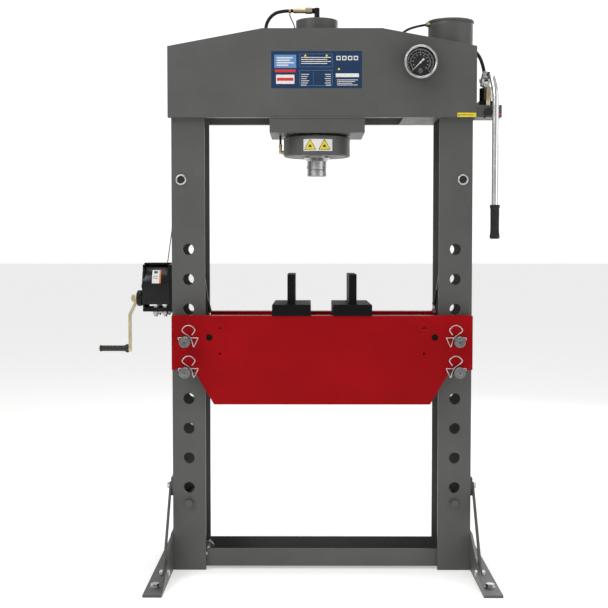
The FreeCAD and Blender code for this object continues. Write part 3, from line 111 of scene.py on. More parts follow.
class LineSettings(bpy.types.PropertyGroup):
    hose_radius: length("Pressure hose", "Outer radius of the pressure hose", 6 * MM)
    return_radius: length("Return hose", "Outer radius of the return hose", 4 * MM)
    gauge_radius: length("Gauge line", "Outer radius of the gauge's line", 2 * MM)
    rope_radius: length("Rope", "Radius over the rope's strands", 2 * MM)
    rope_lay: length("Rope lay", "Length in which a strand goes once round the rope", 26 * MM)


class LabelSettings(bpy.types.PropertyGroup):
    plate_blue: colour("Plate blue", "Ground of the data plate", (0.006, 0.030, 0.085))
    warning_yellow: colour("Warning yellow", "Ground of the warning marks", (0.80, 0.62, 0.02))
    label_white: colour("Label white", "Ground of the plain labels", (0.74, 0.74, 0.72))
    label_red: colour("Label red", "Stripe on the labels", (0.62, 0.03, 0.03))
    thickness: length("Thickness", "Thickness of a label", 0.3 * MM)


class StageSettings(bpy.types.PropertyGroup):
    floor: colour("Floor", "The studio's floor and walls", (0.86, 0.86, 0.85))
    daylight: bpy.props.FloatProperty(name="Daylight", description="Strength of the white room", default=0.62)
    glow: bpy.props.FloatProperty(name="Floor glow", description="Light that the floor gives off", default=0.42)
    lens: bpy.props.FloatProperty(name="Lens", description="Focal length", default=68.64, unit="CAMERA")


SETTINGS = {"press_paint": PaintSettings, "press_steel": SteelSettings, "press_lines": LineSettings,
            "press_labels": LabelSettings, "press_stage": StageSettings}


def settings(name):
    return getattr(bpy.context.scene, name)


# ---- finishes -----------------------------------------------------------------------------------
class Finish:
    """A node material under construction; its patterns read the Object coordinates."""

    def __init__(self, name, roughness, metallic=0.0):
        self.material = bpy.data.materials.new(name)
        self.material.use_nodes = True
        self.tree = self.material.node_tree
        self.shader = self.tree.nodes["Principled BSDF"]
        self.shader.inputs["Roughness"].default_value = roughness
        self.shader.inputs["Metallic"].default_value = metallic
        self.place = self.tree.nodes.new("ShaderNodeTexCoord").outputs["Object"]

    def add(self, kind, **values):
        node = self.tree.nodes.new("ShaderNode" + kind)
        for key, value in values.items():
            setattr(node, key, value)
        return node

    def mapped(self, stretch=(1, 1, 1), centre=(0, 0, 0)):
        """The place, moved so that centre is the origin and stretched."""
        node = self.add("Mapping")
        node.inputs["Scale"].default_value = stretch
        node.inputs["Location"].default_value = [-c * s for c, s in zip(centre, stretch)]
        self.tree.links.new(self.place, node.inputs["Vector"])
        return node.outputs["Vector"]

    def noise(self, scale, detail=3.0, stretch=(1, 1, 1), rough=0.5):
        node = self.add("TexNoise")
        node.inputs["Scale"].default_value = scale
        node.inputs["Detail"].default_value = detail
        node.inputs["Roughness"].default_value = rough
        self.tree.links.new(self.mapped(stretch), node.inputs["Vector"])
        return node.outputs["Fac"]

    def rings(self, centre, axis, scale):
        """Turning marks: rings about a line along an axis through the centre."""
        node = self.add("TexWave", wave_type="RINGS", rings_direction=axis)
        node.inputs["Scale"].default_value = scale
        node.inputs["Distortion"].default_value = 0.6
        node.inputs["Detail"].default_value = 2.0
        self.tree.links.new(self.mapped(centre=centre), node.inputs["Vector"])
        return node.outputs["Fac"]

    def ranged(self, value, low, high, start=0.3, end=0.7):
        node = self.add("MapRange")
        for socket, number in (("From Min", start), ("From Max", end), ("To Min", low), ("To Max", high)):
            node.inputs[socket].default_value = number
        self.tree.links.new(value, node.inputs["Value"])
        return node.outputs["Result"]

    def tones(self, value, dark, light, start=0.3, end=0.7):
        node = self.add("ValToRGB")
        node.color_ramp.elements[0].position, node.color_ramp.elements[1].position = start, end
        node.color_ramp.elements[0].color = (*dark, 1)
        node.color_ramp.elements[1].color = (*light, 1)
        self.tree.links.new(value, node.inputs["Fac"])
        return node.outputs["Color"]

    def speckled(self, base, spot, value, start, end):
        """A colour over another where the value is high."""
        node = self.add("Mix", data_type="RGBA")
        node.inputs[7].default_value = (*spot, 1)
        self.tree.links.new(base, node.inputs[6])
        self.tree.links.new(self.ranged(value, 0, 1, start, end), node.inputs[0])
        return node.outputs[2]

    def relief(self, *layers):
        """Bumps, one on another: each layer is a value, its strength and its height in metres."""
        normal = None
        for value, strength, height in layers:
            node = self.add("Bump")
            node.inputs["Strength"].default_value = strength
            node.inputs["Distance"].default_value = height
            self.tree.links.new(value, node.inputs["Height"])
            if normal is not None:
                self.tree.links.new(normal, node.inputs["Normal"])
            normal = node.outputs["Normal"]
        self.tree.links.new(normal, self.shader.inputs["Normal"])

    def colour(self, value, tone, dark, light):
        """The base colour runs with the value from a darker share of a tone to a lighter one."""
        self.link(self.tones(value, lighter(tone, dark), lighter(tone, light)), "Base Color")

    def wear(self, value, low, high, start=0.3, end=0.7):
        """The roughness runs with the value."""
        self.link(self.ranged(value, low, high, start, end), "Roughness")

    def link(self, value, socket):
        self.tree.links.new(value, self.shader.inputs[socket])


def lighter(tone, share):
    return tuple(min(1.0, c * share) for c in tone)


def enamel(name, tone, roughness=0.42, peel=0.10, gloss=0.32):
    """Sprayed enamel: faint clouds, dust in the gloss and an orange-peel skin."""
    finish = Finish(name, roughness)
    clouds = finish.noise(5.0, 5.0)
    dust = finish.noise(260.0, 2.0)
    base = finish.tones(clouds, lighter(tone, 0.90), lighter(tone, 1.10))
    finish.link(finish.speckled(base, lighter(tone, 1.7), dust, 0.70, 0.80), "Base Color")
    finish.wear(finish.noise(34.0, 4.0), roughness - 0.07, roughness + 0.08)
    finish.relief((finish.noise(430.0, 1.5), peel, 0.0005), (finish.noise(38.0, 2.0), 0.06, 0.0012))
    finish.shader.inputs["Specular IOR Level"].default_value = gloss
    finish.shader.inputs["Coat Weight"].default_value = gloss * 0.15
    finish.shader.inputs["Coat Roughness"].default_value = 0.25
    return finish.material


def drawn_steel(name, tone, stretch, roughness=0.28, marks=0.12):
    """Steel with fine marks along one direction: stretch is small along it and large across it."""
    finish = Finish(name, roughness, 1.0)
    streaks = finish.noise(1.0, 3.0, stretch)
    finish.colour(streaks, tone, 0.82, 1.08)
    finish.wear(finish.noise(22.0, 4.0), roughness - 0.06, roughness + 0.10)
    finish.relief((streaks, marks, 0.0002))
    return finish.material


def turned_steel(name, tone, centre, axis, roughness=0.30):
    """Steel from the lathe: rings on its faces, fine ridges along its sides."""
    finish = Finish(name, roughness, 1.0)
    rings = finish.rings(centre, axis, 180.0)
    stretch = tuple(40.0 if letter != axis else 2600.0 for letter in "XYZ")
    ridges = finish.noise(1.0, 2.0, stretch)
    finish.colour(finish.noise(60.0, 4.0), tone, 0.72, 1.1)
    finish.wear(rings, roughness - 0.06, roughness + 0.08, 0, 1)
    finish.relief((rings, 0.16, 0.00025), (ridges, 0.10, 0.00015))
    return finish.material


def zinc_plate(name, tone, bloom, roughness=0.34):
    """Passivated plate: its colour drifts, and the gloss is cloudy."""
    finish = Finish(name, roughness, 1.0)
    drift = finish.noise(45.0, 5.0, rough=0.6)
    base = finish.tones(drift, lighter(tone, 0.80), lighter(tone, 1.12))
    finish.link(finish.speckled(base, bloom, finish.noise(90.0, 3.0), 0.55, 0.78), "Base Color")
    finish.wear(finish.noise(150.0, 3.0), roughness - 0.08, roughness + 0.12)
    finish.relief((finish.noise(700.0, 2.0), 0.10, 0.0002))
    return finish.material


def rubber(name, tone, roughness=0.62, weave=900.0):
    finish = Finish(name, roughness)
    finish.shader.inputs["Specular IOR Level"].default_value = 0.25
    finish.colour(finish.noise(70.0, 5.0), tone, 0.7, 1.5)
    finish.wear(finish.noise(120.0, 3.0), roughness - 0.1, roughness + 0.1)
    finish.relief((finish.noise(weave, 2.0), 0.22, 0.0004), (finish.noise(90.0, 3.0), 0.08, 0.0006))
    finish.shader.inputs["Sheen Weight"].default_value = 0.12
    return finish.material


def printed(name, tone, roughness=0.36):
    """Printed film or moulded plastic with a slight grain."""
    finish = Finish(name, roughness)
    finish.colour(finish.noise(160.0, 4.0), tone, 0.94, 1.05)
    finish.wear(finish.noise(60.0, 2.0), roughness - 0.05, roughness + 0.06)
    finish.relief((finish.noise(1200.0, 1.0), 0.05, 0.0001))
    return finish.material


def clear_glass(name):
    finish = Finish(name, 0.03)
    finish.shader.inputs["Transmission Weight"].default_value = 1.0
    finish.shader.inputs["IOR"].default_value = 1.12
    finish.shader.inputs["Alpha"].default_value = 0.22
    finish.wear(finish.noise(40.0, 3.0), 0.02, 0.06)
    return finish.material


FINISHES = {}


def make_finishes():
    """Make the paints, steels, rubbers and films."""
    paint, steel, labels = settings("press_paint"), settings("press_steel"), settings("press_labels")
    FINISHES.update({
        "grey": enamel("frame_enamel", paint.frame_grey),
        "red": enamel("bed_enamel", paint.bed_red, 0.36, gloss=0.05),
        "black": enamel("black_enamel", paint.black, 0.30, gloss=0.20),
        "gloss": enamel("gloss_black", paint.black, 0.24, 0.04, gloss=0.34),
        "block": enamel("block_enamel", lighter(paint.black, 0.9), 0.5, 0.2, gloss=0.07),
        "chrome": drawn_steel("chrome_plate", steel.chrome, (40, 40, 2), 0.20, 0.02),
        "rod": drawn_steel("ground_rod", steel.chrome, (3, 3, 2200), 0.16, 0.05),
        "machined": drawn_steel("machined_steel", steel.bright, (60, 60, 900), 0.34, 0.16),
        "yellow_zinc": zinc_plate("yellow_zinc", steel.yellow_zinc, (0.56, 0.43, 0.30)),
        "clear_zinc": zinc_plate("clear_zinc", steel.clear_zinc, (0.50, 0.52, 0.58), 0.30),
        "strand": drawn_steel("rope_strand", steel.rope, (300, 300, 300), 0.38, 0.2),
        "hose": rubber("hose_cover", (0.012, 0.012, 0.012)),
        "line": printed("nylon_line", (0.012, 0.012, 0.013), 0.34),
        "grip": rubber("grip_rubber", (0.011, 0.011, 0.011), 0.55, 500.0),
        "plastic": printed("black_plastic", (0.013, 0.013, 0.014), 0.42),
        "dial": printed("dial_black", (0.012, 0.012, 0.013), 0.5),
        "mark": printed("dial_white", (0.82, 0.82, 0.80), 0.5),
        "glass": clear_glass("gauge_glass_clear"),
        "blue": printed("label_blue", labels.plate_blue, 0.30),
        "pale_blue": printed("label_pale_blue", (0.12, 0.26, 0.52), 0.30),
        "yellow": printed("label_yellow", labels.warning_yellow, 0.32),
        "white": printed("label_white", labels.label_white, 0.34),
        "scarlet": printed("label_red", labels.label_red, 0.32),
        "ink": printed("label_ink", (0.02, 0.02, 0.022), 0.4),
        "orange": printed("label_orange", (0.72, 0.16, 0.03), 0.34),
    })


# ---- tools --------------------------------------------------------------------------------------
def place(name, mesh, finish, body, slot, stands_for=(), sharp=32, weighted=False):
    """An object of the mesh that rides on a body, creased where its faces meet at more than sharp degrees."""
    piece = bpy.data.objects.new(name, mesh)
    bpy.context.scene.collection.objects.link(piece)
    mesh.materials.clear()
    mesh.materials.append(FINISHES[finish] if isinstance(finish, str) else finish)
    mesh.shade_smooth()
    mesh.set_sharp_from_angle(angle=math.radians(sharp))
    if weighted:
        modifier = piece.modifiers.new("even_shading", "WEIGHTED_NORMAL")
        modifier.keep_sharp = True
    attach(piece, body)
    if stands_for:
        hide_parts(*stands_for)
    return piece


def place_bmesh(name, bm, *arguments, **options):
    mesh = bpy.data.meshes.new(name)
    bm.to_mesh(mesh)
    bm.free()
    return place(name, mesh, *arguments, **options)


def islands(bm):
    """The bmesh's loose parts, as lists of vertices."""
    left = set(bm.verts)
    parts = []
    while left:
        part, front = [], [left.pop()]
        while front:
            vertex = front.pop()
            part.append(vertex)
            for edge in vertex.link_edges:
                other = edge.other_vert(vertex)
                if other in left:
                    left.remove(other)
                    front.append(other)
        parts.append(part)
    return parts


def size_of(vertices):
    low = Vector([min(v.co[k] for v in vertices) for k in range(3)])
    high = Vector([max(v.co[k] for v in vertices) for k in range(3)])
    return low, high


def finished_node(node, finish, slot, suffix, edge=None, keep=None):
    """A merged copy of a CAD piece that stands for it, its sharp edges rounded to edge millimetres.

    keep(low, high) picks which of the piece's loose solids the copy holds.
    """
    source = frame["nodes"][node]
    bm = bmesh.new()
    bm.from_mesh(source.data)
    bmesh.ops.remove_doubles(bm, verts=bm.verts, dist=0.00001)
    if keep is not None:
        gone = [v for part in islands(bm) if not keep(*size_of(part)) for v in part]
        bmesh.ops.delete(bm, geom=gone, context="VERTS")
    bmesh.ops.dissolve_limit(bm, angle_limit=math.radians(0.4), verts=bm.verts, edges=bm.edges)
    width = settings("press_paint").broken_edge if edge is None else edge * MM
    if width:
        hard = [e for e in bm.edges if e.is_manifold and e.calc_face_angle(0) > math.radians(40)]
        bmesh.ops.bevel(bm, geom=hard, offset=width, offset_type="OFFSET", affect="EDGES", segments=2,
                        profile=0.5, material=-1, clamp_overlap=True, miter_outer="ARC")
    place_bmesh("%s_%s" % (node, suffix), bm, finish, source["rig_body"], slot, (node,), weighted=True)


def finished_nodes(*rows):
    """A finished copy for each row: node, finish, slot, suffix and, if it isn't the usual one, the edge."""
    for row in rows:
        finished_node(*row)


def split_node(node, test, passing, failing):
    """Two copies of a piece: its loose solids that pass the test, and the rest."""
    finished_node(node, *passing, keep=test)
    finished_node(node, *failing, keep=lambda low, high: not test(low, high))


def spun(profile, centre, axis=ALONG_Z, steps=72):
    """A bmesh turned from (radius, height) points, in millimetres, about a line through the centre."""
    bm = bmesh.new()
    verts = [bm.verts.new((r * MM, 0, h * MM)) for r, h in profile]
    edges = [bm.edges.new(pair) for pair in zip(verts, verts[1:])]
    bmesh.ops.spin(bm, geom=verts + edges, cent=(0, 0, 0), axis=(0, 0, 1), angle=2 * math.pi, steps=steps,
                   use_merge=True)
    bmesh.ops.remove_doubles(bm, verts=bm.verts, dist=0.000002)
    bmesh.ops.recalc_face_normals(bm, faces=bm.faces)
    aim = ALONG_Z.rotation_difference(axis).to_matrix().to_4x4()
    bmesh.ops.transform(bm, matrix=Matrix.Translation(Vector(centre) * MM) @ aim, verts=bm.verts)
    return bm


def join(bm, other):
    """Adds another bmesh to this one."""
    mesh = bpy.data.meshes.new("part")
    other.to_mesh(mesh)
    other.free()
    bm.from_mesh(mesh)
    bpy.data.meshes.remove(mesh)
    return bm


def bevel(bm, edges, radius, segments):
    """Rounds some edges to a radius in millimetres."""
    bmesh.ops.bevel(bm, geom=edges, offset=radius * MM, affect="EDGES", segments=segments, profile=0.5,
                    material=-1)


def extruded(outline, shift):
    """A bmesh of a flat outline drawn out by a shift; its places are in millimetres."""
    bm = bmesh.new()
    face = bm.faces.new([bm.verts.new([c * MM for c in where]) for where in outline])
    grown = bmesh.ops.extrude_face_region(bm, geom=[face])
    moved = [part for part in grown["geom"] if isinstance(part, bmesh.types.BMVert)]
    bmesh.ops.translate(bm, vec=[c * MM for c in shift], verts=moved)
    bmesh.ops.recalc_face_normals(bm, faces=bm.faces)
    return bm


def block(low, high, radius=0.0):
    """A bmesh of a box between two corners, in millimetres, with rounded edges."""
    bm = bmesh.new()
    bmesh.ops.create_cube(bm, size=1)
    span = [b - a for a, b in zip(low, high)]
    middle = [(a + b) / 2 for a, b in zip(low, high)]
    bmesh.ops.scale(bm, vec=[s * MM for s in span], verts=bm.verts)
    bmesh.ops.translate(bm, vec=[m * MM for m in middle], verts=bm.verts)
    if radius:
        bevel(bm, bm.edges[:], radius, 2)
    return bm


def mesh_from(data):
    """The mesh that a curve or a text gives; the curve or text goes."""
    holder = bpy.data.objects.new(data.name, data)
    bpy.context.scene.collection.objects.link(holder)
    bpy.context.view_layer.update()
    mesh = bpy.data.meshes.new_from_object(holder.evaluated_get(bpy.context.evaluated_depsgraph_get()))
    bpy.data.objects.remove(holder)
    bpy.data.curves.remove(data)
    return mesh


def line_points(points, resolution=10):
    """Points along the smooth line that a list of route points, in millimetres, pulls."""
    data = bpy.data.curves.new("route", "CURVE")
    data.dimensions = "3D"
    spline = data.splines.new("NURBS")
    spline.points.add(len(points) - 1)
    for point, where in zip(spline.points, points):
        point.co = (*[c * MM for c in where], 1)
    spline.order_u = 3
    spline.use_endpoint_u = True
    spline.resolution_u = resolution
    mesh = mesh_from(data)
    found = [v.co.copy() for v in mesh.vertices]
    bpy.data.meshes.remove(mesh)
    return found


def evenly(points, step):
    """Points a step apart along a line of points."""
    result, need = [points[0]], step
    for a, b in zip(points, points[1:]):
        span = (b - a).length
        while span > need:
            a = a + (b - a) * (need / span)
            span -= need
            result.append(a)
            need = step
        need -= span
    result.append(points[-1])
    return result


def tube(points, radius, sides=8, radii=None, profile=None, tilts=None):
    """A mesh tube along points in metres; profile is the flat curve of its section, if not round."""
    data = bpy.data.curves.new("tube", "CURVE")
    data.dimensions = "3D"
    data.use_fill_caps = True
    if profile is None:
        data.bevel_depth = radius
        data.bevel_resolution = sides
    else:
        data.bevel_mode = "OBJECT"
        data.bevel_object = profile
    spline = data.splines.new("POLY")
    spline.points.add(len(points) - 1)
    for index, (point, where) in enumerate(zip(spline.points, points)):
        point.co = (*where, 1)
        point.radius = radii[index] if radii else 1
        point.tilt = tilts[index] if tilts else 0
    return mesh_from(data)


STRANDS = 6


def strand_profile(radius):
    """A flat closed curve with one lobe for each strand."""
    data = bpy.data.curves.new("strands", "CURVE")
    data.dimensions = "2D"
    spline = data.splines.new("POLY")
    count = STRANDS * 4
    spline.points.add(count - 1)
    spline.use_cyclic_u = True
    for index, point in enumerate(spline.points):
        angle = 2 * math.pi * index / count
        reach = radius * (0.80 + 0.20 * abs(math.cos(STRANDS * angle / 2)))
        point.co = (reach * math.cos(angle), reach * math.sin(angle), 0, 1)
    profile = bpy.data.objects.new("strands", data)
    bpy.context.scene.collection.objects.link(profile)
    return profile


def weld_bead(start, end, seed):
    """A run of weld between two points, in millimetres: overlapping ripples of uneven size."""
    a, b = Vector(start) * MM, Vector(end) * MM
    radius = settings("press_paint").weld_radius
    count = max(3, int((b - a).length / (0.9 * MM)))
    chance = random.Random(seed)
    points, radii = [], []
    for index in range(count + 1):
        ripple = 0.86 + 0.14 * abs(math.sin(index * 0.9)) + chance.uniform(-0.04, 0.04)
        end_taper = min(1.0, 0.35 + min(index, count - index) * 0.25)
        points.append(a.lerp(b, index / count))
        radii.append(ripple * end_taper)
    return tube(points, radius, 2, radii)


def place_welds(name, runs, first_seed, finish, body, slot):
    """The beads of several runs as one piece."""
    bm = bmesh.new()
    for seed, run in enumerate(runs, first_seed):
        mesh = weld_bead(*run, seed)
        bm.from_mesh(mesh)
        bpy.data.meshes.remove(mesh)
    place_bmesh(name, bm, finish, body, slot, sharp=60)


# ---- frame --------------------------------------------------------------------------------------
PLATE_NODES = ("left_upright", "right_upright", "beam_front_plate", "beam_rear_plate", "beam_stiffeners",
               "head_mount_plate", "base_crossmember", "left_foot", "right_foot", "foot_braces")


def frame_welds():
    """Where plates meet: (start, end) of each bead, in millimetres."""
    runs = []
    for side in SIDES.values():
        for face in (-1, 1):
            runs += [
                ((side * 392, face * 101, 1512.5), (side * 498, face * 101, 1512.5)),
                ((side * 501, face * 101, 1516), (side * 501, face * 101, 1638)),
                ((side * 501, face * 98, 125.4), (side * 501, face * 2, 125.4)),
                ((side * 391, face * 84, 70.5), (side * 408, face * 84, 70.5)),
            ]
    runs += [((-171, face * 126.2, 1513.2), (139, face * 126.2, 1513.2)) for face in (-1, 1)]
    return [*runs, ((509.5, -126, 1516), (509.5, -126, 1552))]


def build_frame():
    """Paint the frame's plates and lay its welds."""
    for node in PLATE_NODES:
        finished_node(node, "grey", "frame_paint", "painted")
    place_welds("frame_welds", frame_welds(), 0, "grey", "frame", "frame_paint")


def build_fasteners():
    """Paint the tie bolts, and plate the bolts, nuts and washers."""
    split_node("frame_bolts", lambda low, high: high.y - low.y > 0.09,
               ("grey", "frame_paint", "painted", 0.9), ("clear_zinc", "zinc", "plated", 0.5))


# ---- ram and tank -------------------------------------------------------------------------------
RAM_X = -16.0


def build_ram():
    """Finish the cylinder, rod and nose."""
    turned = turned_steel("turned_nose", settings("press_steel").bright, (RAM_X * MM, 0, 0), "Z")
    finished_nodes(("cylinder_barrel", "grey", "frame_paint", "painted", 1.6),
                   ("cylinder_collar", "grey", "frame_paint", "painted", 0.6),
                   ("rod_wiper", "plastic", "hose_rubber", "lip", 0.4),
                   ("piston", "machined", "bright_steel", "turned", 0.5),
                   ("piston_rod", "rod", "chrome", "ground", 0),
                   ("ram_nose", turned, "bright_steel", "turned", 0.5),
                   ("nose_cap", turned, "bright_steel", "turned", 0.5))
    groove = spun([(32.6, 1357), (32.9, 1357.6), (32.9, 1358.8), (32.6, 1359.4)], (RAM_X, 0, 0), steps=96)
    place_bmesh("nose_ring", groove, turned, "ram", "bright_steel")


TANK_X, FILLER_X = 436.0, 442.0
TANK_RADIUS, BEAD_RADIUS = 75.4, 76.0


def build_tank():
    """A rolled shell with a swaged bead, and a lid whose rim is turned over it."""
    low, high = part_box("oil_tank")
    z0, z1 = low.z / MM, high.z / MM
    shell = spun([(72, z1), (TANK_RADIUS, z1), (TANK_RADIUS, z1 - 8), (BEAD_RADIUS, z1 - 10),
                  (BEAD_RADIUS, z1 - 13), (TANK_RADIUS, z1 - 15), (TANK_RADIUS, z0 + 12), (BEAD_RADIUS, z0 + 9),
                  (BEAD_RADIUS, z0 + 5), (TANK_RADIUS, z0 + 2), (TANK_RADIUS - 2, z0), (0, z0), (0, z0 + 3),
                  (72, z0 + 3), (72, z1)], (TANK_X, 0, 0), steps=128)
    place_bmesh("tank_shell", shell, "grey", "frame", "frame_paint", ("oil_tank",), sharp=50)
    low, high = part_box("tank_lid")
    top, rim = high.z / MM, (high.x - low.x) / 2 / MM
    lid = spun([(5.4, top - 1.5), (70, top - 1.5), (74, top), (rim - 2, top), (rim - 0.5, top - 0.8),
                (rim, top - 2.5), (rim, top - 6), (rim - 0.6, top - 7.2), (rim - 1.6, top - 7.2),
                (76.4, top - 6), (72.4, top - 6), (72.4, top - 10), (5.4, top - 10), (5.4, top - 1.5)],
               (TANK_X, 0, 0), steps=128)
    for vertex in lid.verts:
        flat = Vector((vertex.co.x - TANK_X * MM, vertex.co.y))
        if flat.length < 10 * MM:
            vertex.co.x += (FILLER_X - TANK_X) * MM
    place_bmesh("tank_lid_rolled", lid, "grey", "frame", "frame_paint", ("tank_lid",), sharp=50)
    finished_node("filler_plug", "black", "bright_steel", "moulded", 0.8)


# ---- pump and handle ----------------------------------------------------------------------------
def build_pump():
    """Finish the hand pump and its valve."""
    finished_nodes(("pump_block", "grey", "frame_paint", "painted", 1.0),
                   ("pump_cylinder", "black", "black_paint", "painted", 0.7),
                   ("pump_plunger", "chrome", "chrome", "ground", 0.4),
                   ("pump_lever", "clear_zinc", "zinc", "plated", 0.9),
                   ("release_valve", "plastic", "plastic", "moulded", 0.8))


FLUTES, FLUTE_DEPTH = 12, 1.1


def build_handle():
    """Plate the handle and mould its grip."""
    finished_node("handle_tube", "chrome", "chrome", "plated", 0)
    low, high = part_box("handle_grip")
    x, y = (low.x + high.x) / 2 / MM, (low.y + high.y) / 2 / MM
    z0, z1 = low.z / MM, high.z / MM
    profile = [(0, z0), (12, z0), (15, z0 + 1.5), (16.2, z0 + 4), (16.5, z0 + 9), (15.6, z0 + 14), (14.6, z0 + 22),
               (14.2, z0 + 34), (14.2, z0 + 52), (14.4, z0 + 68), (14.6, z0 + 82), (14.4, z1 - 14),
               (15.2, z1 - 10), (16.3, z1 - 8), (16.5, z1 - 6), (16.5, z1 - 1.5), (15.5, z1), (10.7, z1),
               (10.7, z1 - 20)]
    grip = spun(profile, (x, y, 0), steps=96)
    for vertex in grip.verts:
        height = vertex.co.z / MM
        if z0 + 12 < height < z1 - 12:
            across = Vector((vertex.co.x - x * MM, vertex.co.y - y * MM, 0))
            flute = max(0.0, math.cos(FLUTES * math.atan2(across.y, across.x)))
            vertex.co -= across.normalized() * flute * FLUTE_DEPTH * MM
    place_bmesh("grip_sleeve", grip, "grip", "lever", "hose_rubber", ("handle_grip",), sharp=55)


# ---- hoses --------------------------------------------------------------------------------------
HOSE_ROUTE = [(550, -36, 1598), (549, -34, 1648), (543, -32, 1694), (526, -42, 1732), (494, -68, 1749),
              (450, -88, 1750), (400, -91, 1739), (320, -88, 1729), (235, -88, 1724), (145, -87, 1719),
              (50, -89, 1722), (-32, -87, 1717), (-90, -82, 1718), (-140, -64, 1732), (-174, -38, 1762),
              (-188, -12, 1798), (-190, 0, 1837), (-173, 0, 1868), (-142, 0, 1886), (-96, 0, 1886)]
RETURN_ROUTE = [(-140, 0, 1436), (-140, 0, 1500), (-141, -6, 1570), (-137, -24, 1632), (-115, -54, 1678),
                (-66, -80, 1693), (5, -86, 1690), (75, -82, 1688), (140, -70, 1694), (200, -58, 1720),
                (240, -48, 1764), (266, -40, 1803), (305, -31, 1826), (350, -24, 1834)]
GAUGE_ROUTE = [(-108, 0, 1871), (-103, -4, 1857), (-94, -19, 1838), (-88, -38, 1808), (-82, -58, 1775),
               (-55, -76, 1756), (-5, -82, 1750), (60, -80, 1752), (122, -77, 1746), (184, -75, 1742),
               (240, -75, 1732), (282, -73, 1712), (310, -71, 1695)]


def wrapped_hose(route, radius, rib):
    """A hose whose cover keeps the faint rings of its wrapping."""
    points = evenly(line_points(route), rib)
    radii = [1.0 if index % 2 else 0.965 for index in range(len(points))]
    return tube(points, radius, 5, radii)


def build_hoses():
    """Lay the hoses and the gauge's line."""
    sizes = settings("press_lines")
    place("pressure_hose_cover", wrapped_hose(HOSE_ROUTE, sizes.hose_radius, 1.6 * MM), "hose", "frame",
          "hose_rubber", ("pressure_hose",), sharp=80)
    place("return_hose_cover", wrapped_hose(RETURN_ROUTE, sizes.return_radius, 1.4 * MM), "hose", "frame",
          "hose_rubber", ("return_hose",), sharp=80)
    line = tube(evenly(line_points(GAUGE_ROUTE), 3 * MM), sizes.gauge_radius, 4)
    place("gauge_line_smooth", line, "line", "frame", "hose_rubber", ("gauge_line",), sharp=80)


def build_fittings():
    """The brass-coloured unions and the black elbow over the ram."""
    split_node("hose_fittings", lambda low, high: low.z > 1.845 and high.x > -0.03,
               ("black", "zinc", "elbow", 0.5), ("yellow_zinc", "zinc", "unions", 0.4))


# ---- gauge --------------------------------------------------------------------------------------
GAUGE = (320.0, 1688.0)
SCALE_START = -135.0
SCALE_SWEEP = 270.0
DIAL_FRONT = -155.0


def on_dial(radius, share):
    """A point on the dial at a share of the scale, in millimetres: x and z."""
    angle = math.radians(SCALE_START + SCALE_SWEEP * share)
    return GAUGE[0] + radius * math.sin(angle), GAUGE[1] + radius * math.cos(angle)


def tick(share, inner, outer, width):
    bm = block((-width / 2, -0.2, inner), (width / 2, 0, outer))
    turn = Matrix.Rotation(math.radians(SCALE_START + SCALE_SWEEP * share), 4, "Y")
    where = Matrix.Translation(Vector((GAUGE[0], DIAL_FRONT, GAUGE[1])) * MM)
    bmesh.ops.transform(bm, matrix=where @ turn, verts=bm.verts)
    return bm


def arc_band(radius, width):
    places = [on_dial(radius, step / 72) for step in range(73)]
    return tube([Vector((x, DIAL_FRONT - 0.05, z)) * MM for x, z in places], width / 2 * MM, 1)


def numeral(words, radius, share, height):
    data = bpy.data.curves.new("numeral", "FONT")
    data.body = words
    data.size = height * MM
    data.align_x = "CENTER"
    data.align_y = "CENTER"
    data.extrude = 0.08 * MM
    mesh = mesh_from(data)
    x, z = on_dial(radius, share)
    stand = Matrix.Rotation(math.radians(90), 4, "X")
    mesh.transform(Matrix.Translation(Vector((x, DIAL_FRONT - 0.1, z)) * MM) @ stand)
    return mesh


def build_dial():
    """Black dial, two white scales and their numbers."""
    finished_node("gauge_dial", "dial", "dial", "face", 0)
    marks = bmesh.new()
    for ticks, every, outer, long, short in ((60, 5, 42.5, (37.5, 1.0), (39.5, 0.5)),
                                             (40, 4, 32.4, (28.6, 0.8), (30.2, 0.45))):
        for step in range(ticks + 1):
            inner, width = short if step % every else long
            join(marks, tick(step / ticks, inner, outer, width))
    for mesh in [arc_band(42.8, 0.7), arc_band(32.8, 0.5)]:
        marks.from_mesh(mesh)
    for step in range(11):
        marks.from_mesh(numeral(str(step * 10), 24.2, step / 10, 4.6))
    for step in range(1, 6):
        marks.from_mesh(numeral(str(step * 2), 35.4, step / 6, 3.0))
    for z, half in ((-22, 5), (-28, 8), (-33, 4)):
        low = (GAUGE[0] - half, DIAL_FRONT - 0.2, GAUGE[1] + z - 0.45)
        join(marks, block(low, (GAUGE[0] + half, DIAL_FRONT, GAUGE[1] + z + 0.45)))
    place_bmesh("dial_marks", marks, "mark", "frame", "dial")


def build_pointer():
    """A thin hand with a round boss and a short broad tail; at rest it points down to the left."""
    low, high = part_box("gauge_pointer")
    front = low.y / MM
    outline = [(0, 38), (0.55, 36), (1.5, 4), (1.6, -6), (3.4, -11), (3.0, -15.4), (0, -16.6)]
    outline += [(-across, along) for across, along in reversed(outline[1:-1])]
    bm = extruded([(across, 0, along) for across, along in outline], (0, 0.8, 0))
    turn = Matrix.Rotation(math.radians(SCALE_START), 4, "Y")
    turned = Matrix.Translation(Vector((GAUGE[0], front + 1.6, GAUGE[1])) * MM) @ turn
    bmesh.ops.transform(bm, matrix=turned, verts=bm.verts)
    boss = [(0, front + 0.3), (2.6, front + 0.3), (3.4, front + 1.1), (3.4, front + 3.8), (1.9, front + 3.9),
            (1.9, high.y / MM), (0, high.y / MM)]
    join(bm, spun(boss, (GAUGE[0], 0, GAUGE[1]), ALONG_Y, 32))
    place_bmesh("gauge_pointer_hand", bm, "mark", "pointer", "pointer_white", ("gauge_pointer",), sharp=40)


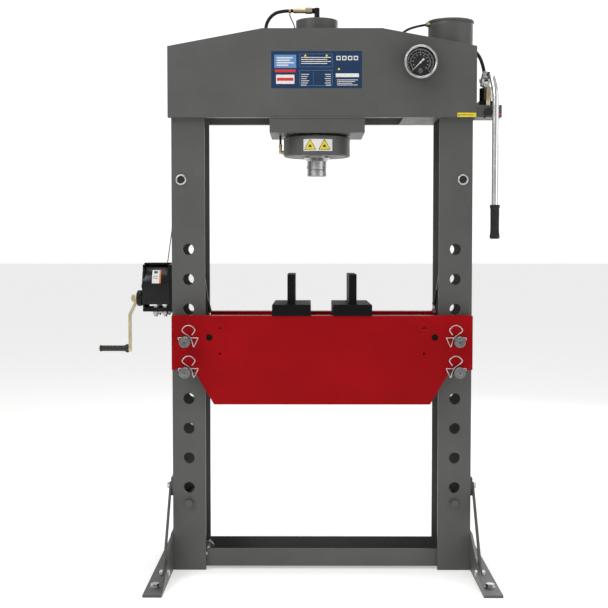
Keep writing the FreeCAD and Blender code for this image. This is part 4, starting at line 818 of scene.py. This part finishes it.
def build_gauge():
    """Make the gauge, its dial and glass."""
    finished_node("gauge_case", "black", "black_paint", "painted", 1.2)
    low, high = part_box("gauge_bezel")
    front, back = low.y / MM, high.y / MM
    bezel = spun([(47, back - 7.5), (46.4, front + 3.5), (47.4, front + 1.4), (49.5, front), (51.5, front),
                  (53.2, front + 1), (54, front + 3), (54, back - 3.5), (53.2, back - 2.4), (53.2, back - 1.2),
                  (54, back - 0.6), (53.6, back), (50.4, back), (50.4, back - 7), (47, back - 7.5)],
                 (GAUGE[0], 0, GAUGE[1]), ALONG_Y, 128)
    ring = turned_steel("bezel_steel", (0.58, 0.58, 0.58), (GAUGE[0] * MM, 0, GAUGE[1] * MM), "Y", 0.26)
    place_bmesh("bezel_ring", bezel, ring, "frame", "bright_steel", ("gauge_bezel",), sharp=50)
    build_pointer()
    finished_node("gauge_glass", "glass", "glass", "clear", 0)
    build_dial()


# ---- pulleys and ropes --------------------------------------------------------------------------
WINCH_ROUTE = [(-535, 0, 972), (-488.6, 0, 1307.9), (-487, 0, 1319.6), (-479.4, 0, 1328.5), (-468.1, 0, 1331.8),
               (-456.8, 0, 1328.6), (-449.1, 0, 1319.7), (-447.4, 0, 1308.1), (-387.6, 0, 903.6)]
LEVEL_ROUTE = [(392.1, 0, 939.5), (447.5, 0, 1308.9), (449, 0, 1319), (455.1, 0, 1327.1), (464.4, 0, 1331.3),
               (474.6, 0, 1330.6), (483.1, 0, 1325), (488, 0, 1316.1), (488, 0, 1305.9), (488, 0, 57.4),
               (488, 0, 46.6), (482.6, 0, 37.4), (473.4, 0, 32), (462.6, 0, 32), (-386.6, 0, 32),
               (-397.4, 0, 32), (-406.6, 0, 37.4), (-412, 0, 46.6), (-412, 0, 57.4), (-412, 0, 690)]


def twisted(route, step=3.2 * MM, resolution=12):
    """A rope of six strands along a route."""
    sizes = settings("press_lines")
    points = evenly(line_points(route, resolution=resolution), step)
    profile = strand_profile(sizes.rope_radius)
    tilts = [2 * math.pi * index * step / sizes.rope_lay for index in range(len(points))]
    mesh = tube(points, 1, profile=profile, tilts=tilts)
    bpy.data.objects.remove(profile)
    return mesh


def build_ropes():
    """Lay the ropes' strands."""
    place("winch_rope_strands", twisted(WINCH_ROUTE), "strand", "frame", "wire_rope", ("winch_rope",), sharp=80)
    place("level_rope_strands", twisted(LEVEL_ROUTE, 5 * MM), "strand", "frame", "wire_rope", ("level_rope",),
          sharp=80)


def build_rope_ends():
    """Finish the sleeves and shackles."""
    split_node("rope_ends", lambda low, high: high.z - low.z > 0.03 and high.y - low.y < 0.016,
               ("plastic", "hose_rubber", "sleeves", 0.3), ("clear_zinc", "zinc", "shackles", 0.3))


def build_pulleys():
    """Finish the pulleys, sheaves and axles."""
    shaft = lambda low, high: low.z > 1 and high.y - low.y > 0.1
    finished_node("pulley_axles", "plastic", "plastic", "caps", 0.4, shaft)
    finished_node("pulley_axles", "clear_zinc", "bright_steel", "plated", 0.2,
                  lambda low, high: not shaft(low, high) and high.x - low.x < 0.0365)
    rings = bmesh.new()
    for side in SIDES.values():
        for face, aim in ((-106.2, ALONG_Y), (106.2, -ALONG_Y)):
            ring = [(12.4, 6), (12.4, 1.2), (13.6, 0), (15.6, 0), (17.6, 1.4), (18.5, 3), (18.5, 6)]
            join(rings, spun(ring, (side * 468, face, 1311), aim, 72))
    place_bmesh("axle_rings", rings, "clear_zinc", "frame", "bright_steel", sharp=50)
    for side in SIDES:
        for wheel in ("_pulley", "_base_sheave"):
            finished_node(side + wheel, "machined", "bright_steel", "turned", 0.3)


# ---- bed ----------------------------------------------------------------------------------------
def build_bed():
    """Paint the bed."""
    finished_nodes(("bed_front_plate", "red", "bed_paint", "painted"),
                   ("bed_rear_plate", "red", "bed_paint", "painted"))
    split_node("bed_spacers", lambda low, high: high.x - low.x < 0.021 and high.y - low.y > 0.32,
               ("block", "frame_paint", "tie_rods"), ("red", "bed_paint", "painted"))
    runs = [((side * 352, face * 149, 702), (side * 352, face * 149, 846))
            for side in SIDES.values() for face in (-1, 1)]
    place_welds("bed_welds", runs, 50, "red", "frame", "bed_paint")


# A clip's route from the pin's axis: towards the middle of the press, up, and towards the front.
CLIP_ROUTE = [(-20.8, 4.5, 0), (-22, 9, 0), (-22.5, 12.5, 0), (-19, 12.5, 0), (38, 12.5, 0), (42.5, 12.5, 0),
              (41, 9, -0.3), (29.6, -14.4, -1.8), (28.2, -17.4, -2), (26.8, -14.2, -2.2), (21.9, 3.1, -4.2),
              (17, 13, -4.2), (9.4, 20.6, -4.2), (1, 25.4, -4.2), (-7.4, 33, -4.2), (-10.2, 37.4, -4.2),
              (-7.4, 43, -4.2), (0, 50.6, -4.2), (11.3, 54.4, -4.2), (22.6, 50.6, -4.2), (30.4, 43, -4.2),
              (33, 37.4, -4.2), (30.4, 33, -4.2), (22.5, 22.5, -4.2)]
CLIP_Y = -207.0
PIN_X = 445.5


def build_pins():
    """Turned pins with a grooved face, and their bent-wire clips."""
    bright = settings("press_steel").bright
    for name in PINS:
        side = SIDES[name.split("_")[0]]
        x, z = side * PIN_X, 780.0 if "upper" in name else 680.0
        steel = turned_steel(name + "_pin_steel", lighter(bright, 0.5), (x * MM, 0, z * MM), "Y", 0.30)
        profile = [(0, -225.4), (1.4, -226), (2.8, -229.8), (4.2, -230), (4.6, -229.3), (5.2, -229.3), (5.6, -230),
                   (8.8, -230), (9.3, -228.9), (10.4, -228.9), (10.9, -230), (13.6, -230), (14, -229.3),
                   (14.6, -229.3), (15, -230), (16.6, -230), (18, -228.6), (18, 198), (16.4, 200), (0, 200)]
        bar = spun(profile, (x, 0, z), ALONG_Y, 72)
        place_bmesh(name + "_pin_bar", bar, steel, name + "_pin", "bright_steel", (name + "_bed_pin",), sharp=35)
        route = [(x - side * u, CLIP_Y + y, z + w) for u, w, y in CLIP_ROUTE]
        wire = tube(evenly(line_points(route), 1.2 * MM), 1.6 * MM, 6)
        place(name + "_pin_clip", wire, "clear_zinc", name + "_pin", "zinc", (name + "_bed_pin",), sharp=80)


def build_blocks():
    """Bearing plates with their fins, and the fillet welds between them."""
    for name, side in SIDES.items():
        finished_node(name + "_press_block", "block", "black_paint", "painted", 1.2)
        runs = [((side * x, -148, 899.8), (side * x, 108, 899.8)) for x in (88, 115)]
        runs += [((side * 91, y, 899.8), (side * 112, y, 899.8)) for y in (-151, 111)]
        place_welds(name + "_block_welds", runs, 70, "block", name + "_block", "black_paint")


# ---- winch --------------------------------------------------------------------------------------
DRUM_Y, DRUM_Z = -31.0, 955.0
COVER_Z, COVER_RADIUS = 962.0, 66.8
WOUND_RADIUS, ROPE_TURNS, ROPE_START, ROPE_PITCH, TURN_STEPS = 31.0, 13, -572.0, 4.2, 16


def build_drum():
    """The spool and gear, and the rope wound on it turn by turn."""
    finished_node("winch_drum", "clear_zinc", "bright_steel", "plated", 0.3,
                  lambda low, high: high.z - low.z > 0.07)
    reach = WOUND_RADIUS / math.cos(math.pi / TURN_STEPS)
    route = []
    for index in range(ROPE_TURNS * TURN_STEPS + 1):
        angle = 2 * math.pi * index / TURN_STEPS
        route.append((ROPE_START + ROPE_PITCH * index / TURN_STEPS, DRUM_Y + reach * math.cos(angle),
                      DRUM_Z + reach * math.sin(angle)))
    coil = twisted(route, 3.6 * MM, 4)
    place("drum_rope", coil, "strand", "drum", "wire_rope", sharp=80)


def along_x(outline, x0, x1, edge):
    """A plate between two places along X, with this outline in Y and Z and its rims rounded."""
    bm = extruded([(x0, y, z) for y, z in outline], (x1 - x0, 0, 0))
    bevel(bm, [e for e in bm.edges if abs(e.verts[0].co.x - e.verts[1].co.x) < MM * 0.01], edge, 2)
    return bm


def quarter(radius, steps=18):
    """The cover's arc from its front to its top, in Y and Z."""
    turns = [math.pi * (1 - step / steps / 2) for step in range(steps + 1)]
    return [(DRUM_Y + radius * math.cos(turn), COVER_Z + radius * math.sin(turn)) for turn in turns]


def build_winch_case():
    """The U-shaped frame with its rounded shoulders, and the bent cover over it."""
    shell = lambda low, high: 0.8795 < low.z < 0.8805 and high.z > 1.02
    finished_node("winch_frame", "black", "black_paint", "painted", 0.7, lambda low, high: not shell(low, high))
    frame = block((-598, -94.5, 880), (-509, 33, 885), 0.8)
    outline = [(33, 1029), (33, 880.5), (-94.5, 880.5), *quarter(63.5), (-24, 1029)]
    for x0 in (-598, -514):
        join(frame, along_x(outline, x0, x0 + 5, 0.6))
    place_bmesh("winch_side_plates", frame, "black", "frame", "black_paint", ("winch_frame",), sharp=35)
    lid = block((-598, -60, 1029.2), (-514, 33, 1035), 0.8)
    place_bmesh("winch_lid", lid, "black", "frame", "black_paint", ("winch_cover",))
    inside = COVER_RADIUS - 2
    bend = [(DRUM_Y - COVER_RADIUS, 896), *quarter(COVER_RADIUS), (-22, COVER_Z + COVER_RADIUS),
            (-22, COVER_Z + inside), *reversed(quarter(inside)), (DRUM_Y - inside, 896)]
    place_bmesh("winch_cover_bent", along_x(bend, -600.5, -508.6, 0.5), "gloss", "frame", "black_paint",
                ("winch_cover",), sharp=35)


def build_winch():
    """Finish the winch and wind its rope."""
    build_winch_case()
    build_drum()
    shaft = lambda low, high: high.x > -0.60
    hub = lambda low, high: low.x > -0.622 and high.x < -0.60
    finished_node("winch_pinion_shaft", "clear_zinc", "zinc", "shaft", 0.3, shaft)
    finished_node("winch_pinion_shaft", "black", "zinc", "hub", 0.5, hub)
    finished_node("winch_pinion_shaft", "yellow_zinc", "zinc", "nut", 0.5,
                  lambda low, high: not shaft(low, high) and not hub(low, high))


def build_crank():
    """Plate the crank and mould its grip."""
    finished_node("crank_arm", "yellow_zinc", "zinc", "plated", 0.9)
    low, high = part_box("crank_grip")
    y, z = (low.y + high.y) / 2 / MM, (low.z + high.z) / 2 / MM
    x0, x1 = low.x / MM, high.x / MM
    ribs = []
    span = x1 - x0 - 30
    for rib in range(12):
        x = x0 + 8 + span * rib / 11
        ribs += [(9.4, x - span / 50), (10.4, x - span / 120), (10.4, x + span / 120), (9.4, x + span / 50)]
    profile = [(5.1, x0), (9.5, x0), (11, x0 + 1), (11, x0 + 4), (10, x0 + 5.5), *ribs, (10.4, x1 - 14),
               (13.5, x1 - 9), (14.5, x1 - 7), (14.5, x1 - 3), (13.5, x1 - 1), (10, x1), (5.1, x1), (5.1, x0)]
    grip = spun(profile, (0, y, z), ALONG_X, 64)
    place_bmesh("crank_grip_ribbed", grip, "plastic", "grip", "plastic", ("crank_grip",), sharp=55)


# ---- labels -------------------------------------------------------------------------------------
BEAM_FACE = -125.0
LAYER_SHARE = 0.35


def film(name, shapes, layer, finish, corner=0.0):
    """Flat films on the beam's face as one piece; shapes are (x0, x1, z0, z1), each layer lies on the last."""
    thick = settings("press_labels").thickness / MM
    back = BEAM_FACE - thick * layer * LAYER_SHARE
    bm = bmesh.new()
    for x0, x1, z0, z1 in shapes:
        join(bm, block((x0, back - thick, z0), (x1, back, z1)))
    if corner:
        bevel(bm, [e for e in bm.edges if abs((e.verts[0].co - e.verts[1].co).normalized().y) > 0.9], corner, 4)
    place_bmesh(name, bm, finish, "frame", "dial")


def triangle(x, z, side, face, layer):
    """A flat triangle with rounded corners, point upwards, centred on x and z."""
    thick = settings("press_labels").thickness / MM
    bm = bmesh.new()
    bmesh.ops.create_cone(bm, cap_ends=True, segments=3, radius1=side / math.sqrt(3) * MM,
                          radius2=side / math.sqrt(3) * MM, depth=thick * MM)
    corners = [e for e in bm.edges if abs((e.verts[0].co - e.verts[1].co).normalized().z) > 0.9]
    bevel(bm, corners, side * 0.06, 3)
    stand = Matrix.Rotation(math.radians(90), 4, "X")
    highest = max(bm.verts, key=lambda v: (stand @ v.co).z)
    lowest = min(bm.verts, key=lambda v: (stand @ v.co).z)
    if abs((stand @ highest.co).z) < abs((stand @ lowest.co).z):
        stand = Matrix.Rotation(math.radians(180), 4, "Y") @ stand
    where = Matrix.Translation(Vector((x, face - thick * (layer * LAYER_SHARE + 0.5), z)) * MM)
    bmesh.ops.transform(bm, matrix=where @ stand, verts=bm.verts)
    return bm


def triangles(name, marks, side, layer, finish):
    bm = bmesh.new()
    for x, z in marks:
        join(bm, triangle(x, z, side, BEAM_FACE, layer))
    place_bmesh(name, bm, finish, "frame", "dial")


def build_data_plate():
    """A plain three-column plate: blocks and bars stand for its print."""
    x0, x1, z0, z1 = -167.0, 131.0, 1609.0, 1730.0
    film("data_plate", [(x0, x1, z0, z1)], 0, "blue", 2.0)
    film("data_plate_panel", [(x0 + 10, x0 + 82, z0 + 66, z1 - 12)], 1, "pale_blue")
    bars = [(x0 + 18, x0 + 18 + w, z1 - 24 - 8 * i, z1 - 20 - 8 * i) for i, w in enumerate((52, 44, 56, 38))]
    left = [(x0 + 16, x0 + 76, z0 + 14, z0 + 44)]
    rows = []
    for index in range(4):
        z = z1 - 22 - index * 6.5
        rows.append((x0 + 98, x0 + 196 - 12 * (index % 2), z, z + 2.2))
    for index in range(6):
        z = z0 + 44 - index * 7
        rows += [(x0 + 98, x0 + 124 - 4 * (index % 3), z, z + 2), (x0 + 176 + 3 * (index % 2), x0 + 196, z, z + 2)]
    for index in range(4):
        z = z0 + 26 - index * 5.5
        rows.append((x0 + 216, x0 + 284 - 9 * (index % 3), z, z + 1.8))
    lines = [(x0 + 93, x0 + 201, z, z + 0.8) for z in (z1 - 52, z1 - 10, z0 + 8, z0 + 58)]
    for x in (x0 + 93, x0 + 200.2):
        lines += [(x, x + 0.8, z1 - 52, z1 - 10), (x, x + 0.8, z0 + 8, z0 + 58)]
    lines.append((x0 + 138, x0 + 138.6, z0 + 8, z0 + 52))
    film("data_plate_print", bars + rows, 2, "white")
    film("data_plate_lines", lines, 1, "pale_blue")
    film("data_plate_fields", left + [(x0 + 212, x1 - 10, z0 + 36, z0 + 48)], 1, "white")
    film("data_plate_stripe", [(x0 + 12, x0 + 80, z0 + 52, z0 + 61), (x0 + 19, x0 + 73, z0 + 24, z0 + 34)],
         2, "scarlet")
    triangles("data_plate_marks", [(x0 + 112, z1 - 15), (x0 + 182, z1 - 15), (x0 + 222, z0 + 62)], 9, 2, "yellow")
    signs = [(x0 + 214 + 19 * i, x0 + 228 + 19 * i, z1 - 30, z1 - 16) for i in range(4)]
    film("data_plate_signs", signs, 2, "white")
    film("data_plate_sign_centres", [(a + 3, b - 3, c + 3, d - 3) for a, b, c, d in signs], 3, "blue")


def bent_film(name, ends, centre, axis, sweep, steps, finish):
    """A film that an edge leaves when it turns, by a sweep in degrees, about a line through the centre."""
    bm = bmesh.new()
    verts = [bm.verts.new([c * MM for c in end]) for end in ends]
    edge = bm.edges.new(verts)
    bmesh.ops.spin(bm, geom=[*verts, edge], cent=[c * MM for c in centre], axis=axis,
                   angle=math.radians(sweep), steps=steps)
    bmesh.ops.solidify(bm, geom=bm.faces[:], thickness=0.12 * MM)
    bmesh.ops.recalc_face_normals(bm, faces=bm.faces)
    place_bmesh(name, bm, finish, "frame", "dial")


def bent_triangle(x, z, side, layer, radius):
    """A flat triangle bent round the gland."""
    bm = triangle(x, z, side, -radius, layer)
    for step in range(1, 14):
        across = (x - side / 2 + side * step / 14) * MM
        bmesh.ops.bisect_plane(bm, geom=bm.verts[:] + bm.edges[:] + bm.faces[:], dist=1e-7,
                               plane_co=(across, 0, 0), plane_no=(1, 0, 0))
    for vertex in bm.verts:
        angle = (vertex.co.x / MM - RAM_X) / radius
        reach = -vertex.co.y / MM + 0.15
        vertex.co.x = (RAM_X + reach * math.sin(angle)) * MM
        vertex.co.y = -reach * math.cos(angle) * MM
    return bm


def build_collar_label():
    """A white label with two yellow triangles, wrapped on the gland."""
    radius = 112.5
    start, end = -23.5, 26.5
    reach, turn = radius + 0.15, math.radians(start)
    x, y = RAM_X + reach * math.sin(turn), -reach * math.cos(turn)
    ends = [(x, y, z) for z in (1405.5, 1444.5)]
    bent_film("gland_label", ends, (RAM_X, 0, 0), ALONG_Z, end - start, 24, "white")
    for name, side, layer, finish in (("gland_label_edges", 41, 2, "ink"), ("gland_label_marks", 35, 3, "yellow"),
                                      ("gland_label_signs", 13, 4, "ink")):
        bm = bmesh.new()
        for x in (-39.5, 8.5):
            join(bm, bent_triangle(x, 1421.5, side, layer, radius))
        place_bmesh(name, bm, finish, "frame", "dial")


def build_winch_label():
    """A small label on the cover's curve."""
    for name, x0, x1, start, end, layer, finish in (
            ("winch_label", -567, -538, 4, 46, 0, "white"),
            ("winch_label_stripe", -543, -538, 4, 46, 1, "orange"),
            ("winch_label_mark", -561, -549, 34, 42, 1, "ink"),
            ("winch_label_line", -564, -547, 24, 25.5, 1, "ink"),
            ("winch_label_line_low", -564, -547, 18, 19.5, 1, "ink")):
        reach, turn = COVER_RADIUS + 0.1 + 0.12 * layer, math.radians(start)
        y, z = DRUM_Y - reach * math.cos(turn), COVER_Z + reach * math.sin(turn)
        bent_film(name, [(x0, y, z), (x1, y, z)], (0, DRUM_Y, COVER_Z), ALONG_X, start - end, 12, finish)


def build_labels():
    """Stick on the plain labels."""
    build_data_plate()
    build_collar_label()
    build_winch_label()
    film("caution_strip", [(445, 507, 1514.8, 1528.5)], 0, "yellow", 0.8)
    bars = [(455 + 6 * i, 459.5 + 6 * i, 1520.4, 1523.2) for i in range(7)]
    film("caution_strip_print", bars, 1, "ink")
    triangles("caution_strip_mark", [(450, 1521)], 7, 1, "ink")
    film("pump_block_tag", [(580, 588, 1519, 1526)], 0, "scarlet")


# ---- stage --------------------------------------------------------------------------------------
def white_room(strength):
    """A world that lights the press softly, dimmer from the front, and that the camera sees as white."""
    world = bpy.data.worlds.new("white_room")
    world.use_nodes = True
    tree = world.node_tree
    soft = tree.nodes["Background"]
    soft.inputs["Strength"].default_value = strength
    place = tree.nodes.new("ShaderNodeTexCoord")
    split = tree.nodes.new("ShaderNodeSeparateXYZ")
    shade = tree.nodes.new("ShaderNodeValToRGB")
    shade.color_ramp.elements[0].position, shade.color_ramp.elements[1].position = 0.0, 0.9
    shade.color_ramp.elements[0].color = (0.52, 0.52, 0.53, 1)
    shade.color_ramp.elements[1].color = (1, 1, 1, 1)
    half = tree.nodes.new("ShaderNodeMapRange")
    half.inputs["From Min"].default_value = -1
    tree.links.new(place.outputs["Generated"], split.inputs["Vector"])
    tree.links.new(split.outputs["Y"], half.inputs["Value"])
    tree.links.new(half.outputs["Result"], shade.inputs["Fac"])
    tree.links.new(shade.outputs["Color"], soft.inputs["Color"])
    seen = tree.nodes.new("ShaderNodeBackground")
    seen.inputs["Strength"].default_value = 1.4
    rays = tree.nodes.new("ShaderNodeLightPath")
    mixed = tree.nodes.new("ShaderNodeMixShader")
    tree.links.new(rays.outputs["Is Camera Ray"], mixed.inputs["Fac"])
    tree.links.new(soft.outputs["Background"], mixed.inputs[1])
    tree.links.new(seen.outputs["Background"], mixed.inputs[2])
    tree.links.new(mixed.outputs["Shader"], tree.nodes["World Output"].inputs["Surface"])
    return world


CAMERA_PLACE = (-0.0419, -3.9639, 1.0776)
CAMERA_TURN = (90 - 2.665, 0, 0.261)
LAMPS = [("key", (-2.8, -3.0, 3.6), (0, 0, 1.0), 2.4, 70), ("fill", (3.4, -2.4, 1.8), (0, 0, 1.0), 2.6, 26),
         ("top", (0.2, -0.4, 4.6), (0, 0, 1.2), 3.0, 60), ("rim", (1.8, 3.2, 2.8), (0, 0, 1.2), 2.2, 40)]


def build_stage():
    """Set the floor, lights and camera."""
    stage = settings("press_stage")
    scene = bpy.context.scene
    scene.view_settings.view_transform = "Standard"
    bm = bmesh.new()
    bmesh.ops.create_grid(bm, x_segments=1, y_segments=1, size=90)
    bmesh.ops.translate(bm, vec=(0, 0, -0.0004), verts=bm.verts)
    mesh = bpy.data.meshes.new("studio_floor")
    bm.to_mesh(mesh)
    bm.free()
    floor = bpy.data.objects.new("studio_floor", mesh)
    scene.collection.objects.link(floor)
    finish = Finish("studio_paper", 0.9)
    finish.link(finish.tones(finish.noise(2.0, 2.0), lighter(stage.floor, 0.985), stage.floor), "Base Color")
    finish.shader.inputs["Specular IOR Level"].default_value = 0.1
    finish.shader.inputs["Emission Color"].default_value = (1, 1, 1, 1)
    finish.shader.inputs["Emission Strength"].default_value = stage.glow
    mesh.materials.append(finish.material)
    scene.world = white_room(stage.daylight)
    for name, where, aim, size, power in LAMPS:
        data = bpy.data.lights.new(name, "AREA")
        data.size = size
        data.energy = power
        lamp = bpy.data.objects.new(name, data)
        lamp.location = where
        lamp.rotation_euler = (Vector(aim) - Vector(where)).to_track_quat("-Z", "Y").to_euler()
        scene.collection.objects.link(lamp)
    data = bpy.data.cameras.new("front_camera")
    data.lens = stage.lens
    data.sensor_width = 36
    camera = bpy.data.objects.new("front_camera", data)
    camera.location = CAMERA_PLACE
    camera.rotation_euler = [math.radians(turn) for turn in CAMERA_TURN]
    scene.collection.objects.link(camera)
    scene.camera = camera


# ---- add-on -------------------------------------------------------------------------------------
BUILDERS = [make_finishes, build_frame, build_fasteners, build_ram, build_tank, build_pump, build_handle,
            build_hoses, build_fittings, build_gauge, build_pulleys, build_ropes, build_rope_ends, build_bed,
            build_pins, build_blocks, build_winch, build_crank, build_labels, build_stage]
STEPS = {build.__name__.split("_", 1)[1]: build for build in BUILDERS}


def label_of(key):
    return key.replace("_", " ").capitalize()


def step_operator(key, build):
    """An operator class for one group of pieces; its description is the function's own."""

    def execute(self, context):
        build()
        return {"FINISHED"}

    members = {"bl_idname": "press." + key, "bl_label": label_of(key), "__doc__": build.__doc__,
               "bl_options": {"REGISTER", "UNDO"}, "execute": execute}
    return type("PRESS_OT_" + key, (bpy.types.Operator,), members)


OPERATORS = [step_operator(*step) for step in STEPS.items()]


class PRESS_PT_steps(bpy.types.Panel):
    """The press's steps and settings."""

    bl_idname = "PRESS_PT_steps"
    bl_label = "Shop Press"
    bl_space_type = "VIEW_3D"
    bl_region_type = "UI"
    bl_category = "Shop Press"

    def draw(self, context):
        for key in STEPS:
            self.layout.operator("press." + key, text=label_of(key))
        for name, group in SETTINGS.items():
            box = self.layout.box()
            for prop in group.__annotations__:
                box.prop(getattr(context.scene, name), prop)


CLASSES = [*SETTINGS.values(), *OPERATORS, PRESS_PT_steps]


def register():
    for item in CLASSES:
        bpy.utils.register_class(item)
    for name, group in SETTINGS.items():
        setattr(bpy.types.Scene, name, bpy.props.PointerProperty(type=group))


def unregister():
    for name in SETTINGS:
        delattr(bpy.types.Scene, name)
    for item in reversed(CLASSES):
        bpy.utils.unregister_class(item)


def main():
    register()
    for key in STEPS:
        getattr(bpy.ops.press, key)()


if __name__ == "__main__":
    main()
